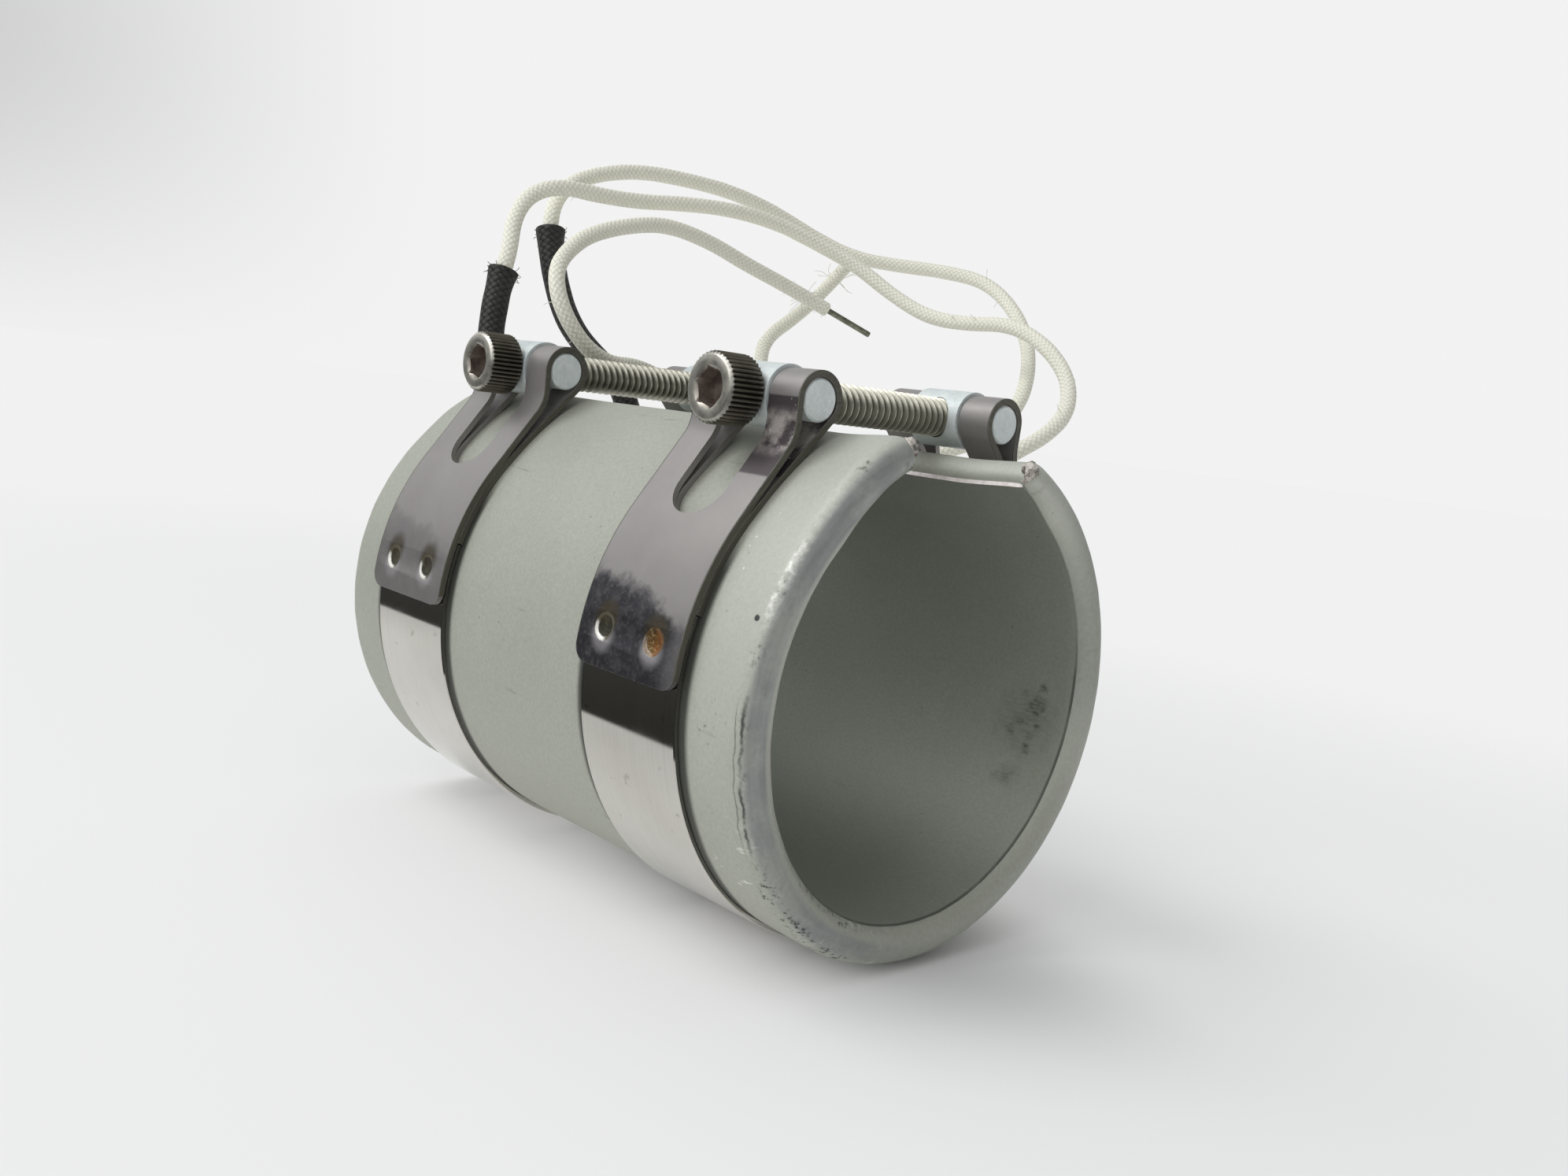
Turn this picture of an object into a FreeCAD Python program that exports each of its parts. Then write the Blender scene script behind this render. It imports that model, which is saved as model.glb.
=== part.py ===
import FreeCAD, Part
import Sketcher
import math
import os

# Clamp-on mica band heater for a two inch barrel, in millimetres.
# The barrel's axis is Y, with the leads at the +Y end.  The gap in the sheath
# and the two clamping screws are on top, at +Z.  Screw heads are on the -X side.

DIMENSIONS = {
    # sheath
    "bore_radius": 25.4,
    "wall": 4.76,
    "sheath_length": 85.7,
    "skin": 0.6,
    "hem": 2.6,
    "gap_angle": 37.0,
    "gap_offset": 1.0,
    # layers inside the sheath
    "liner_sheet": 0.5,
    "liner_reach": 1.0,
    "mica_sheet": 0.4,
    "former_sheet": 0.4,
    "ribbon_sheet": 0.1,
    "ribbon_slot": 1.2,
    "ribbon_turn": 6.0,
    "ribbon_slots": 12,
    "blanket_sheet": 0.9,
    "layer_gap": 0.05,
    "edge_play": 0.5,
    "ribbon_gap": 0.2,
    "terminal_length": 7.0,
    "terminal_angle": 12.0,
    "terminal_sheet": 0.4,
    # clamp bands and looped straps
    "band_width": 16.8,
    "band_sheet": 0.5,
    "band_end_angle": 76.5,
    "strap_width": 17.5,
    "strap_sheet": 0.75,
    "strap_inset": 18.85,
    "strap_rise_angle": 88.0,
    "strap_lift_angle": 54.0,
    "strap_bend_radius": 5.0,
    "strap_tail_angle": 73.0,
    "tab_end_angle": 88.5,
    "tab_corner": 2.0,
    "slot_width": 8.0,
    "slot_end_angle": 54.4,
    "weld_angle": 80.5,
    "weld_spacing": 8.6,
    "weld_radius": 1.6,
    "weld_floor_radius": 0.96,
    "weld_depth": 0.3,
    "weld_overlap": 0.05,
    "seat_gap": 0.04,
    # trunnions
    "trunnion_spacing": 31.7,
    "trunnion_lift": 1.98,
    "barrel_radius": 3.6,
    "barrel_length": 7.6,
    "journal_radius": 2.4,
    "journal_chamfer": 0.25,
    "running_gap": 0.08,
    # socket head screws
    "screw_radius": 2.415,
    "screw_length": 38.1,
    "head_radius": 3.96,
    "head_height": 4.83,
    "head_chamfer": 0.4,
    "hex_flats": 3.97,
    "hex_depth": 2.6,
    "hex_angle": 15.0,
    "tip_chamfer": 0.5,
    # leads
    "lead_diameter": 2.4,
    "sleeve_diameter": 3.6,
    "sleeve_gap": 0.1,
    "hole_gap": 0.1,
    "hole_reach": 8.0,
    "left_sleeve_length": 22.5,
    "right_sleeve_length": 36.0,
    "conductor_diameter": 1.0,
    "left_bare_length": 9.5,
    "right_bare_length": 3.2,
    # how far a cutter runs past the face that it cuts
    "cut_margin": 1.0,
}

doc = FreeCAD.newDocument("band_heater")
sheet = doc.addObject("Spreadsheet::Sheet", "sizes")
for row, (alias, number) in enumerate(DIMENSIONS.items(), start=1):
    sheet.set(f"A{row}", alias)
    sheet.set(f"B{row}", str(number))
    sheet.setAlias(f"B{row}", alias)
doc.recompute()


class Size:
    """A length or angle: its formula on the sheet, and what the formula comes to."""

    def __init__(self, formula, value):
        self.formula = formula
        self.value = value

    def join(self, sign, other, value):
        return Size(f"({self.formula} {sign} {other.formula})", value)

    def __add__(self, other):
        other = as_size(other)
        return self.join("+", other, self.value + other.value)

    def __sub__(self, other):
        other = as_size(other)
        return self.join("-", other, self.value - other.value)

    def __mul__(self, other):
        other = as_size(other)
        return self.join("*", other, self.value * other.value)

    def __truediv__(self, other):
        other = as_size(other)
        return self.join("/", other, self.value / other.value)

    def __neg__(self):
        return Size(f"(0 - {self.formula})", -self.value)


def as_size(number):
    if isinstance(number, Size):
        return number
    return Size(f"{number:.12g}", float(number))


def cell(alias):
    """One of the sheet's sizes."""
    return Size(f"{sheet.Name}.{alias}", float(sheet.get(alias)))


def bind(feature, **sizes):
    """Tie lengths and counts of a feature to the sheet."""
    for name, size in sizes.items():
        feature.setExpression(name, as_size(size).formula)


def bind_angle(feature, name, size):
    """Tie an angle in degrees to the sheet."""
    feature.setExpression(name, f"{as_size(size).formula} * 1 deg")


# Sizes that several pieces share
bore_radius = cell("bore_radius")
outer_radius = bore_radius + cell("wall")
half_length = cell("sheath_length") / 2
rim_radius = cell("wall") / 2
rim_start = half_length - rim_radius
hem_edge = half_length - cell("hem")
middle_radius = bore_radius + rim_radius
lip_start = cell("gap_angle") / 2 + rim_radius / middle_radius * (180 / math.pi)
layer_gap = cell("layer_gap")
seat_gap = cell("seat_gap")
layer_end = rim_start - layer_gap * 4
terminal_inner = (bore_radius + cell("skin") + cell("liner_sheet") + cell("mica_sheet") * 2
                  + cell("former_sheet") + cell("ribbon_sheet") + cell("ribbon_gap") + layer_gap * 5)
terminal_outer = terminal_inner + cell("terminal_sheet")
band_inner = outer_radius + layer_gap
band_outer = band_inner + cell("band_sheet")
tail_middle = band_inner + cell("strap_sheet") / 2
leaf_inner = band_inner + cell("strap_sheet") + seat_gap
leaf_middle = leaf_inner + cell("strap_sheet") / 2
trunnion_x = cell("trunnion_spacing") / 2
trunnion_z = outer_radius + cell("trunnion_lift")
edge_play = cell("edge_play")
cut_margin = cell("cut_margin")
full_turn = as_size(360)
hole_radius = cell("screw_radius") + cell("running_gap")
head_seat = trunnion_x + cell("barrel_radius") + seat_gap

X_AXIS = FreeCAD.Vector(1, 0, 0)
Y_AXIS = FreeCAD.Vector(0, 1, 0)
Z_AXIS = FreeCAD.Vector(0, 0, 1)
ORIGIN = FreeCAD.Vector(0, 0, 0)
NEAR = 1e-3


# Bodies and sketches

def new_body(label):
    body = doc.addObject("PartDesign::Body", label)
    body.Label = label
    return body


def origin_feature(body, role):
    return next(item for item in body.Origin.OriginFeatures if item.Role == role)


def new_sketch(body, name, support):
    sketch = body.newObject("Sketcher::SketchObject", name)
    sketch.AttachmentSupport = [(support, "")]
    sketch.MapMode = "FlatFace"
    return sketch


def tilted_plane(body, name, role, axis, angle):
    """A plane of the body turned by an angle about one of its own axes."""
    plane = body.newObject("PartDesign::Plane", name)
    plane.AttachmentSupport = [(origin_feature(body, role), "")]
    plane.MapMode = "FlatFace"
    plane.AttachmentOffset = FreeCAD.Placement(ORIGIN, FreeCAD.Rotation(axis, as_size(angle).value))
    bind_angle(plane, "AttachmentOffset.Rotation.Angle", angle)
    return plane


def hold(sketch, kind, item, end, size):
    place = sketch.addConstraint(Sketcher.Constraint(kind, -1, 1, item, end, size.value))
    sketch.setExpression(f"Constraints[{place}]", size.formula)


def arc_between(start, stop, centre, sweep):
    first = math.atan2(start.y - centre.y, start.x - centre.x)
    last = math.atan2(stop.y - centre.y, stop.x - centre.x)
    if sweep < 0:
        first, last = last, first
    circle = Part.Circle(centre, Z_AXIS, (start - centre).Length)
    return Part.ArcOfCircle(circle, first, last)


def outline(sketch, corners):
    """Closed outline.  A corner is (across, up), reached by a line, or (across, up, centre, sweep),
    reached by an arc about centre, where a sweep of 1 is anticlockwise and -1 clockwise."""
    places = [FreeCAD.Vector(corner[0].value, corner[1].value, 0) for corner in corners]
    last_end = []
    for index, corner in enumerate(corners):
        start = places[index - 1]
        stop = places[index]
        if len(corner) == 2:
            sketch.addGeometry(Part.LineSegment(start, stop), False)
            last_end.append(2)
            continue
        across, up = corner[2]
        sweep = corner[3]
        sketch.addGeometry(arc_between(start, stop, FreeCAD.Vector(across.value, up.value, 0), sweep), False)
        last_end.append(2 if sweep > 0 else 1)
    for index, corner in enumerate(corners):
        following = (index + 1) % len(corners)
        first_end = 3 - last_end[following]
        sketch.addConstraint(Sketcher.Constraint("Coincident", index, last_end[index], following, first_end))
        hold(sketch, "DistanceX", index, last_end[index], corner[0])
        hold(sketch, "DistanceY", index, last_end[index], corner[1])
        if len(corner) == 4:
            level = abs(places[index].y - places[index - 1].y) < NEAR
            kind, centre_size = ("DistanceY", corner[2][1]) if level else ("DistanceX", corner[2][0])
            hold(sketch, kind, index, 3, centre_size)


def add_revolution(body, name, sketch, axis, angle, midplane=False, reverse=False, cut=False):
    feature = body.newObject("PartDesign::Groove" if cut else "PartDesign::Revolution", name)
    feature.Profile = sketch
    feature.ReferenceAxis = (sketch, [axis])
    feature.Midplane = midplane
    feature.Reversed = reverse
    bind_angle(feature, "Angle", angle)
    return feature


def turn_body(body, angle):
    """Turn a body about the barrel's axis."""
    body.Placement = FreeCAD.Placement(ORIGIN, FreeCAD.Rotation(Y_AXIS, as_size(angle).value))
    bind_angle(body, "Placement.Rotation.Angle", angle)


def arc_layer(label, inner, thickness, front, rear, edge_angle):
    """A sheet rolled round the barrel, open at the gap by edge_angle on each side."""
    body = new_body(label)
    sketch = new_sketch(body, f"{label}_section", origin_feature(body, "YZ_Plane"))
    outer = inner + thickness
    outline(sketch, [(front, -outer), (rear, -outer), (rear, -inner), (front, -inner)])
    add_revolution(body, f"{label}_roll", sketch, "H_Axis", full_turn - edge_angle * 2, midplane=True)
    return body


# Outer sheath: skin rolled over both ends, and folded round both lips of the gap

def make_sheath():
    body = new_body("sheath_wrap")
    skin = cell("skin")
    hem_inner = bore_radius + skin
    skin_inner = outer_radius - skin
    rim_centre = {side: (rim_start * side, -middle_radius) for side in (-1, 1)}
    section = new_sketch(body, "rim_section", origin_feature(body, "YZ_Plane"))
    outline(section, [
        (-hem_edge, -bore_radius),
        (-rim_start, -bore_radius),
        (-rim_start, -outer_radius, rim_centre[-1], 1),
        (rim_start, -outer_radius),
        (rim_start, -bore_radius, rim_centre[1], 1),
        (hem_edge, -bore_radius),
        (hem_edge, -hem_inner),
        (rim_start, -hem_inner),
        (rim_start, -skin_inner, rim_centre[1], -1),
        (-rim_start, -skin_inner),
        (-rim_start, -hem_inner, rim_centre[-1], -1),
        (-hem_edge, -hem_inner),
    ])
    add_revolution(body, "wrap", section, "H_Axis", full_turn - lip_start * 2, midplane=True)

    lip_plane = tilted_plane(body, "lip_plane", "YZ_Plane", X_AXIS, lip_start)
    lip = new_sketch(body, "lip_section", lip_plane)
    lip_top = outer_radius
    lip_inside = outer_radius - skin
    centre = {side: (rim_start * side, middle_radius) for side in (-1, 1)}
    end_inside = half_length - skin
    outline(lip, [
        (-half_length, middle_radius),
        (-rim_start, lip_top, centre[-1], -1),
        (rim_start, lip_top),
        (half_length, middle_radius, centre[1], -1),
        (end_inside, middle_radius),
        (rim_start, lip_inside, centre[1], 1),
        (-rim_start, lip_inside),
        (-end_inside, middle_radius, centre[-1], 1),
    ])
    fold_axis = lip.addGeometry(Part.LineSegment(FreeCAD.Vector(-1, middle_radius.value, 0),
                                                 FreeCAD.Vector(1, middle_radius.value, 0)), True)
    lip.addConstraint(Sketcher.Constraint("Horizontal", fold_axis))
    hold(lip, "DistanceX", fold_axis, 1, as_size(-1))
    hold(lip, "DistanceX", fold_axis, 2, as_size(1))
    hold(lip, "DistanceY", fold_axis, 1, middle_radius)
    fold = add_revolution(body, "lip_fold", lip, "Axis0", as_size(180), reverse=True)
    mirror = body.newObject("PartDesign::Mirrored", "other_lip")
    mirror.Originals = [fold]
    mirror.MirrorPlane = (origin_feature(body, "YZ_Plane"), [""])
    body.Tip = mirror

    recess = new_sketch(body, "liner_recess", origin_feature(body, "YZ_Plane"))
    recess_top = hem_inner + layer_gap
    outline(recess, [
        (-hem_edge, -recess_top),
        (hem_edge, -recess_top),
        (hem_edge, -(bore_radius - cut_margin)),
        (-hem_edge, -(bore_radius - cut_margin)),
    ])
    groove = add_revolution(body, "liner_seat", recess, "H_Axis", full_turn, cut=True)
    body.Tip = groove
    turn_body(body, cell("gap_offset"))
    return body


# Layers inside the sheath

def make_liner():
    """Inner sheet, flush with the hems, and stepped back under them between the lips."""
    body = new_body("inner_liner")
    thick = cell("liner_sheet")
    hook = cell("skin") + layer_gap
    edge = hem_edge - layer_gap
    inner = bore_radius
    reach = cell("gap_angle") / 2 + cell("liner_reach")
    section = new_sketch(body, "liner_section", origin_feature(body, "YZ_Plane"))
    outline(section, [(-edge, -(inner + thick)), (edge, -(inner + thick)), (edge, -inner), (-edge, -inner)])
    add_revolution(body, "liner_roll", section, "H_Axis", full_turn - reach * 2, midplane=True)
    for side, name in ((-1, "front"), (1, "rear")):
        margin = new_sketch(body, f"{name}_margin", origin_feature(body, "YZ_Plane"))
        outline(margin, [
            ((edge - thick) * side, -inner),
            (edge * side, -inner),
            (edge * side, -(inner + hook)),
            (layer_end * side, -(inner + hook)),
            (layer_end * side, -(inner + hook + thick)),
            ((edge - thick) * side, -(inner + hook + thick)),
        ])
        swept = full_turn - (lip_start + edge_play) * 2
        body.Tip = add_revolution(body, f"{name}_step", margin, "H_Axis", swept, midplane=True)
    turn_body(body, cell("gap_offset"))
    return body


def make_ribbon(inner, edge_angle):
    """Resistance ribbon that runs to and fro along the barrel, all the way round from lip to lip."""
    body = arc_layer("resistance_ribbon", inner, cell("ribbon_sheet"), -layer_end, layer_end, edge_angle)
    turn = cell("ribbon_turn")
    count = cell("ribbon_slots")
    step = (full_turn - edge_angle * 2) / (count * 2)
    for side, name in ((-1, "front"), (1, "rear")):
        start = edge_angle + step * (0.5 if side < 0 else 1.5)
        plane = tilted_plane(body, f"{name}_slot_plane", "XY_Plane", Y_AXIS, start)
        slot = new_sketch(body, f"{name}_slot", plane)
        wide = cell("ribbon_slot") / 2
        open_end = (layer_end + cut_margin) * side
        closed_end = -(layer_end - turn) * side
        outline(slot, [(-wide, closed_end), (wide, closed_end), (wide, open_end), (-wide, open_end)])
        pocket = body.newObject("PartDesign::Pocket", f"{name}_cut")
        pocket.Profile = slot
        pocket.Reversed = True
        bind(pocket, Length=inner + cut_margin)
        pattern = body.newObject("PartDesign::PolarPattern", f"{name}_cuts")
        pattern.Originals = [pocket]
        pattern.Axis = (origin_feature(body, "Y_Axis"), [""])
        used = count if side < 0 else count - 1
        bind(pattern, Occurrences=used)
        bind_angle(pattern, "Angle", step * 2 * (used - 1))
        body.Tip = pattern
    turn_body(body, cell("gap_offset"))
    return body


def make_layers():
    mica = cell("mica_sheet")
    edge_angle = lip_start + edge_play
    first = bore_radius + cell("skin") + layer_gap * 2 + cell("liner_sheet")
    former = first + mica + layer_gap
    ribbon = former + cell("former_sheet") + layer_gap
    second = ribbon + cell("ribbon_sheet") + cell("ribbon_gap")
    terminal_front = layer_end - cell("terminal_length")
    layers = [
        ("inner_mica", first, mica, layer_end),
        ("element_former", former, cell("former_sheet"), layer_end),
        ("outer_mica", second, mica, layer_end),
        ("backing_blanket", terminal_inner, cell("blanket_sheet"), terminal_front - cell("liner_reach")),
    ]
    for label, inner, thickness, rear in layers:
        body = arc_layer(label, inner, thickness, -layer_end, rear, edge_angle)
        turn_body(body, cell("gap_offset"))
    make_ribbon(ribbon, edge_angle)
    wide = cell("terminal_angle")
    for side, label in ((-1, "left_terminal"), (1, "right_terminal")):
        edge = full_turn / 2 - wide / 2
        body = arc_layer(label, terminal_inner, cell("terminal_sheet"), terminal_front, layer_end, edge)
        centre = edge_angle + wide / 2
        turn_body(body, cell("gap_offset") + centre * side + 180)


# Clamps: band, looped straps, trunnions and screw

def place(item, **sizes):
    """Tie the position of a piece to the sheet, axis by axis."""
    for axis, size in sizes.items():
        item.setExpression(f"Placement.Base.{axis}", as_size(size).formula)


def make_band(label, y):
    wide = cell("band_width") / 2
    body = arc_layer(label, band_inner, cell("band_sheet"), -wide, wide, cell("band_end_angle"))
    place(body, y=y)


def polar(radius, angle, centre=ORIGIN):
    """A point of the strap's side view, with the angle in degrees from +X towards +Z."""
    turn = math.radians(angle)
    return centre + FreeCAD.Vector(radius * math.cos(turn), 0, radius * math.sin(turn))


def side_edges(path, shift):
    """Edges of a path of lines and arcs, moved sideways by shift, to the left of the way it runs."""
    edges = []
    for step in path:
        if step[0] == "line":
            start, stop = step[1], step[2]
            along = (stop - start).normalize()
            left = FreeCAD.Vector(-along.z, 0, along.x) * shift
            edges.append(Part.LineSegment(start + left, stop + left).toShape())
            continue
        centre, radius, first, last = step[1:]
        radius -= shift * math.copysign(1, last - first)
        points = [polar(radius, angle, centre) for angle in (first, (first + last) / 2, last)]
        edges.append(Part.Arc(*points).toShape())
    return edges


def strap_path():
    """Middle line of a far-side strap: up the sheath, round the journal, and back under itself."""
    journal = FreeCAD.Vector(trunnion_x.value, 0, trunnion_z.value)
    loop = cell("journal_radius").value + cell("running_gap").value + cell("strap_sheet").value / 2
    leaf, tail = leaf_middle.value, tail_middle.value
    lift = 90 - cell("strap_lift_angle").value
    rise = cell("strap_rise_angle").value
    journal_angle = math.degrees(math.atan2(journal.x, journal.z))
    landing = 90 - journal_angle - math.degrees(math.acos((tail + loop) / journal.Length))

    lift_point = polar(leaf, lift)
    lift_way = polar(1, lift + 90)
    rise_point = polar(loop, rise - 90, journal)
    rise_way = polar(1, rise)
    across = rise_point - lift_point
    cross = lift_way.x * rise_way.z - lift_way.z * rise_way.x
    run = (across.x * rise_way.z - across.z * rise_way.x) / cross
    corner = lift_point + lift_way * run
    bend = cell("strap_bend_radius").value
    turn = lift + 90 - rise
    trim = bend * math.tan(math.radians(turn / 2))
    bend_start = corner - lift_way * trim
    bend_end = corner + rise_way * trim
    bend_centre = polar(bend, lift, bend_start)
    return [
        ("arc", ORIGIN, leaf, 90 - cell("tab_end_angle").value, lift),
        ("line", lift_point, bend_start),
        ("arc", bend_centre, bend, lift + 180, rise + 90),
        ("line", bend_end, rise_point),
        ("arc", journal, loop, rise - 90, landing + 180),
        ("line", polar(loop, landing + 180, journal), polar(tail, landing)),
        ("arc", ORIGIN, tail, landing, 90 - cell("strap_tail_angle").value),
    ]


def radial_frame(angle):
    """Placement that turns +Z to the clock angle, measured from the top towards +X."""
    return FreeCAD.Placement(ORIGIN, FreeCAD.Rotation(Y_AXIS, angle))


def strap_slot():
    """Round-ended cutter that splits the strap into two ears for the trunnion's barrel."""
    half = cell("slot_width").value / 2
    angle = cell("slot_end_angle").value - math.degrees(half / leaf_middle.value)
    journal = FreeCAD.Vector(trunnion_x.value, 0, trunnion_z.value)
    ahead = math.radians(angle) - math.atan2(journal.x, journal.z)
    margin = cell("journal_radius").value + cell("strap_sheet").value + cut_margin.value
    low = band_inner.value - cut_margin.value
    high = journal.Length * math.cos(ahead) + margin
    reach = journal.Length * math.sin(ahead) + margin
    rounded = Part.makeCylinder(half, high - low, FreeCAD.Vector(0, 0, low))
    straight = Part.makeBox(reach, half * 2, high - low, FreeCAD.Vector(-reach, -half, low))
    cutter = rounded.fuse(straight)
    cutter.Placement = radial_frame(angle)
    return cutter


def weld_marks():
    """Cutters and bosses of the two spot welds that pinch the tab down to the band."""
    radius = cell("weld_radius").value
    floor_radius = cell("weld_floor_radius").value
    depth = cell("weld_depth").value
    overlap = cell("weld_overlap").value
    floor = leaf_inner.value + cell("strap_sheet").value - depth
    foot = band_outer.value + seat_gap.value
    cutters, bosses = [], []
    for side in (-1, 1):
        y = side * cell("weld_spacing").value / 2
        pit = Part.makeCone(floor_radius, radius, depth + overlap, FreeCAD.Vector(0, y, floor))
        tall = leaf_inner.value + overlap * 2 - foot
        boss = Part.makeCylinder(floor_radius, tall, FreeCAD.Vector(0, y, foot))
        for shape, group in ((pit, cutters), (boss, bosses)):
            shape.Placement = radial_frame(cell("weld_angle").value)
            group.append(shape)
    return cutters, bosses


def make_strap(label, side, y):
    wide = cell("strap_width").value
    thick = cell("strap_sheet").value
    path = strap_path()
    left = side_edges(path, thick / 2)
    right = side_edges(path, -thick / 2)
    caps = [Part.LineSegment(left[end].Vertexes[vertex].Point, right[end].Vertexes[vertex].Point).toShape()
            for end, vertex in ((0, 0), (-1, 1))]
    edges = [edge for group in Part.sortEdges(left + right + caps) for edge in group]
    shape = Part.Face(Part.Wire(edges)).extrude(FreeCAD.Vector(0, wide, 0))
    shape.translate(FreeCAD.Vector(0, -wide / 2, 0))
    tab = polar(leaf_middle.value, 90 - cell("tab_end_angle").value)
    corners = []
    for edge in shape.Edges:
        middle = edge.CenterOfMass
        from_tab = math.hypot(middle.x - tab.x, middle.z - tab.z)
        if abs(edge.Length - thick) < NEAR and from_tab < NEAR:
            corners.append(edge)
    shape = shape.makeFillet(cell("tab_corner").value, corners)
    pits, bosses = weld_marks()
    shape = shape.cut([strap_slot()] + pits).fuse(bosses)
    if side < 0:
        shape = shape.mirror(ORIGIN, X_AXIS)
    feature = doc.addObject("Part::Feature", label)
    feature.Label = label
    feature.Shape = shape.Solids[0] if len(shape.Solids) == 1 else shape
    feature.Placement = FreeCAD.Placement(FreeCAD.Vector(0, as_size(y).value, 0), FreeCAD.Rotation())
    return feature


def make_trunnion(label, side, y):
    """Cross pin with a thick middle, which the screw passes through, and a journal in each ear."""
    body = new_body(label)
    profile = new_sketch(body, f"{label}_profile", origin_feature(body, "YZ_Plane"))
    end = cell("strap_width") / 2
    journal = cell("journal_radius")
    barrel = cell("barrel_radius")
    middle = cell("barrel_length") / 2
    bevel = cell("journal_chamfer")
    axis = as_size(0)
    outline(profile, [
        (-end, axis), (-end, journal - bevel), (-(end - bevel), journal), (-middle, journal),
        (-middle, barrel), (middle, barrel), (middle, journal), (end - bevel, journal),
        (end, journal - bevel), (end, axis),
    ])
    add_revolution(body, f"{label}_turned", profile, "H_Axis", full_turn)
    hole = new_sketch(body, f"{label}_hole", origin_feature(body, "YZ_Plane"))
    circle = hole.addGeometry(Part.Circle(ORIGIN, Z_AXIS, hole_radius.value), False)
    hole.addConstraint(Sketcher.Constraint("Coincident", circle, 3, -1, 1))
    size = hole.addConstraint(Sketcher.Constraint("Radius", circle, hole_radius.value))
    hole.setExpression(f"Constraints[{size}]", hole_radius.formula)
    drill = body.newObject("PartDesign::Pocket", f"{label}_drilled")
    drill.Profile = hole
    drill.Type = "ThroughAll"
    drill.Midplane = True
    place(body, x=trunnion_x * side, y=y, z=trunnion_z)


def make_screw(label, y):
    """Socket head cap screw, drawn with the underside of its head at x = 0."""
    body = new_body(label)
    profile = new_sketch(body, f"{label}_profile", origin_feature(body, "XZ_Plane"))
    head = cell("head_radius")
    tall = cell("head_height")
    bevel = cell("head_chamfer")
    shank = cell("screw_radius")
    long = cell("screw_length")
    tip = cell("tip_chamfer")
    axis = as_size(0)
    outline(profile, [
        (-tall, axis), (-tall, head - bevel), (-(tall - bevel), head), (axis, head),
        (axis, shank), (long - tip, shank), (long, shank - tip), (long, axis),
    ])
    add_revolution(body, f"{label}_turned", profile, "H_Axis", full_turn)
    top = body.newObject("PartDesign::Plane", f"{label}_top")
    top.AttachmentSupport = [(origin_feature(body, "YZ_Plane"), "")]
    top.MapMode = "FlatFace"
    top.AttachmentOffset = FreeCAD.Placement(FreeCAD.Vector(0, 0, -tall.value), FreeCAD.Rotation())
    top.setExpression("AttachmentOffset.Base.z", (-tall).formula)
    hexagon = new_sketch(body, f"{label}_hexagon", top)
    corner = cell("hex_flats") / math.sqrt(3)
    turns = [math.radians(cell("hex_angle").value + 60 * step) for step in range(6)]
    outline(hexagon, [(corner * math.cos(turn), corner * math.sin(turn)) for turn in turns])
    socket = body.newObject("PartDesign::Pocket", f"{label}_socket")
    socket.Profile = hexagon
    socket.Reversed = True
    bind(socket, Length=cell("hex_depth"))
    place(body, x=-head_seat, y=y, z=trunnion_z)


def make_clamp(name, side):
    y = (half_length - cell("strap_inset")) * side
    make_band(f"{name}_band", y)
    make_strap(f"{name}_head_strap", -1, y)
    make_strap(f"{name}_far_strap", 1, y)
    make_trunnion(f"{name}_head_trunnion", -1, y)
    make_trunnion(f"{name}_far_trunnion", 1, y)
    make_screw(f"{name}_screw", y)


# Leads: braided wire, with a black sleeve where each leaves the sheath

LEFT_ROUTE = [
    (-12.2, 38.7, 25.3), (-12.9, 40.4, 33.5), (-11.7, 41.8, 42.0), (-9.5, 42.8, 48.9), (-8.3, 44.6, 53.7),
    (-5.5, 45.5, 57.9), (-0.4, 45.1, 60.1), (7.0, 45.7, 60.1), (15.3, 46.3, 60.7), (24.4, 46.2, 62.1),
    (33.4, 44.7, 62.8), (42.6, 42.8, 62.1), (50.1, 39.3, 59.5), (55.2, 34.7, 56.7), (58.3, 28.9, 52.5),
    (60.5, 21.9, 49.2), (61.7, 13.7, 48.6), (62.5, 5.4, 49.0), (62.1, -2.5, 45.8), (60.5, -8.8, 40.8),
    (56.6, -12.3, 35.6), (51.4, -12.9, 31.8), (46.8, -11.1, 28.7), (44.8, -3.6, 23.4), (42.0, 5.4, 21.0),
    (38.6, 14.2, 20.6), (34.6, 22.4, 22.4), (29.4, 29.4, 25.8), (22.8, 34.2, 30.2), (15.4, 35.8, 33.4),
    (8.6, 34.0, 34.6), (3.0, 31.9, 34.2), (-1.8, 30.9, 35.6), (-5.4, 30.9, 38.6), (-7.4, 31.9, 42.4),
    (-7.2, 33.8, 46.6), (-3.8, 36.1, 50.0), (1.3, 38.1, 53.2), (9.1, 39.5, 55.8), (17.2, 41.1, 57.4),
    (26.3, 41.3, 56.4), (34.7, 40.5, 53.8), (42.9, 39.2, 51.6), (50.6, 36.9, 48.8),
]
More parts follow.
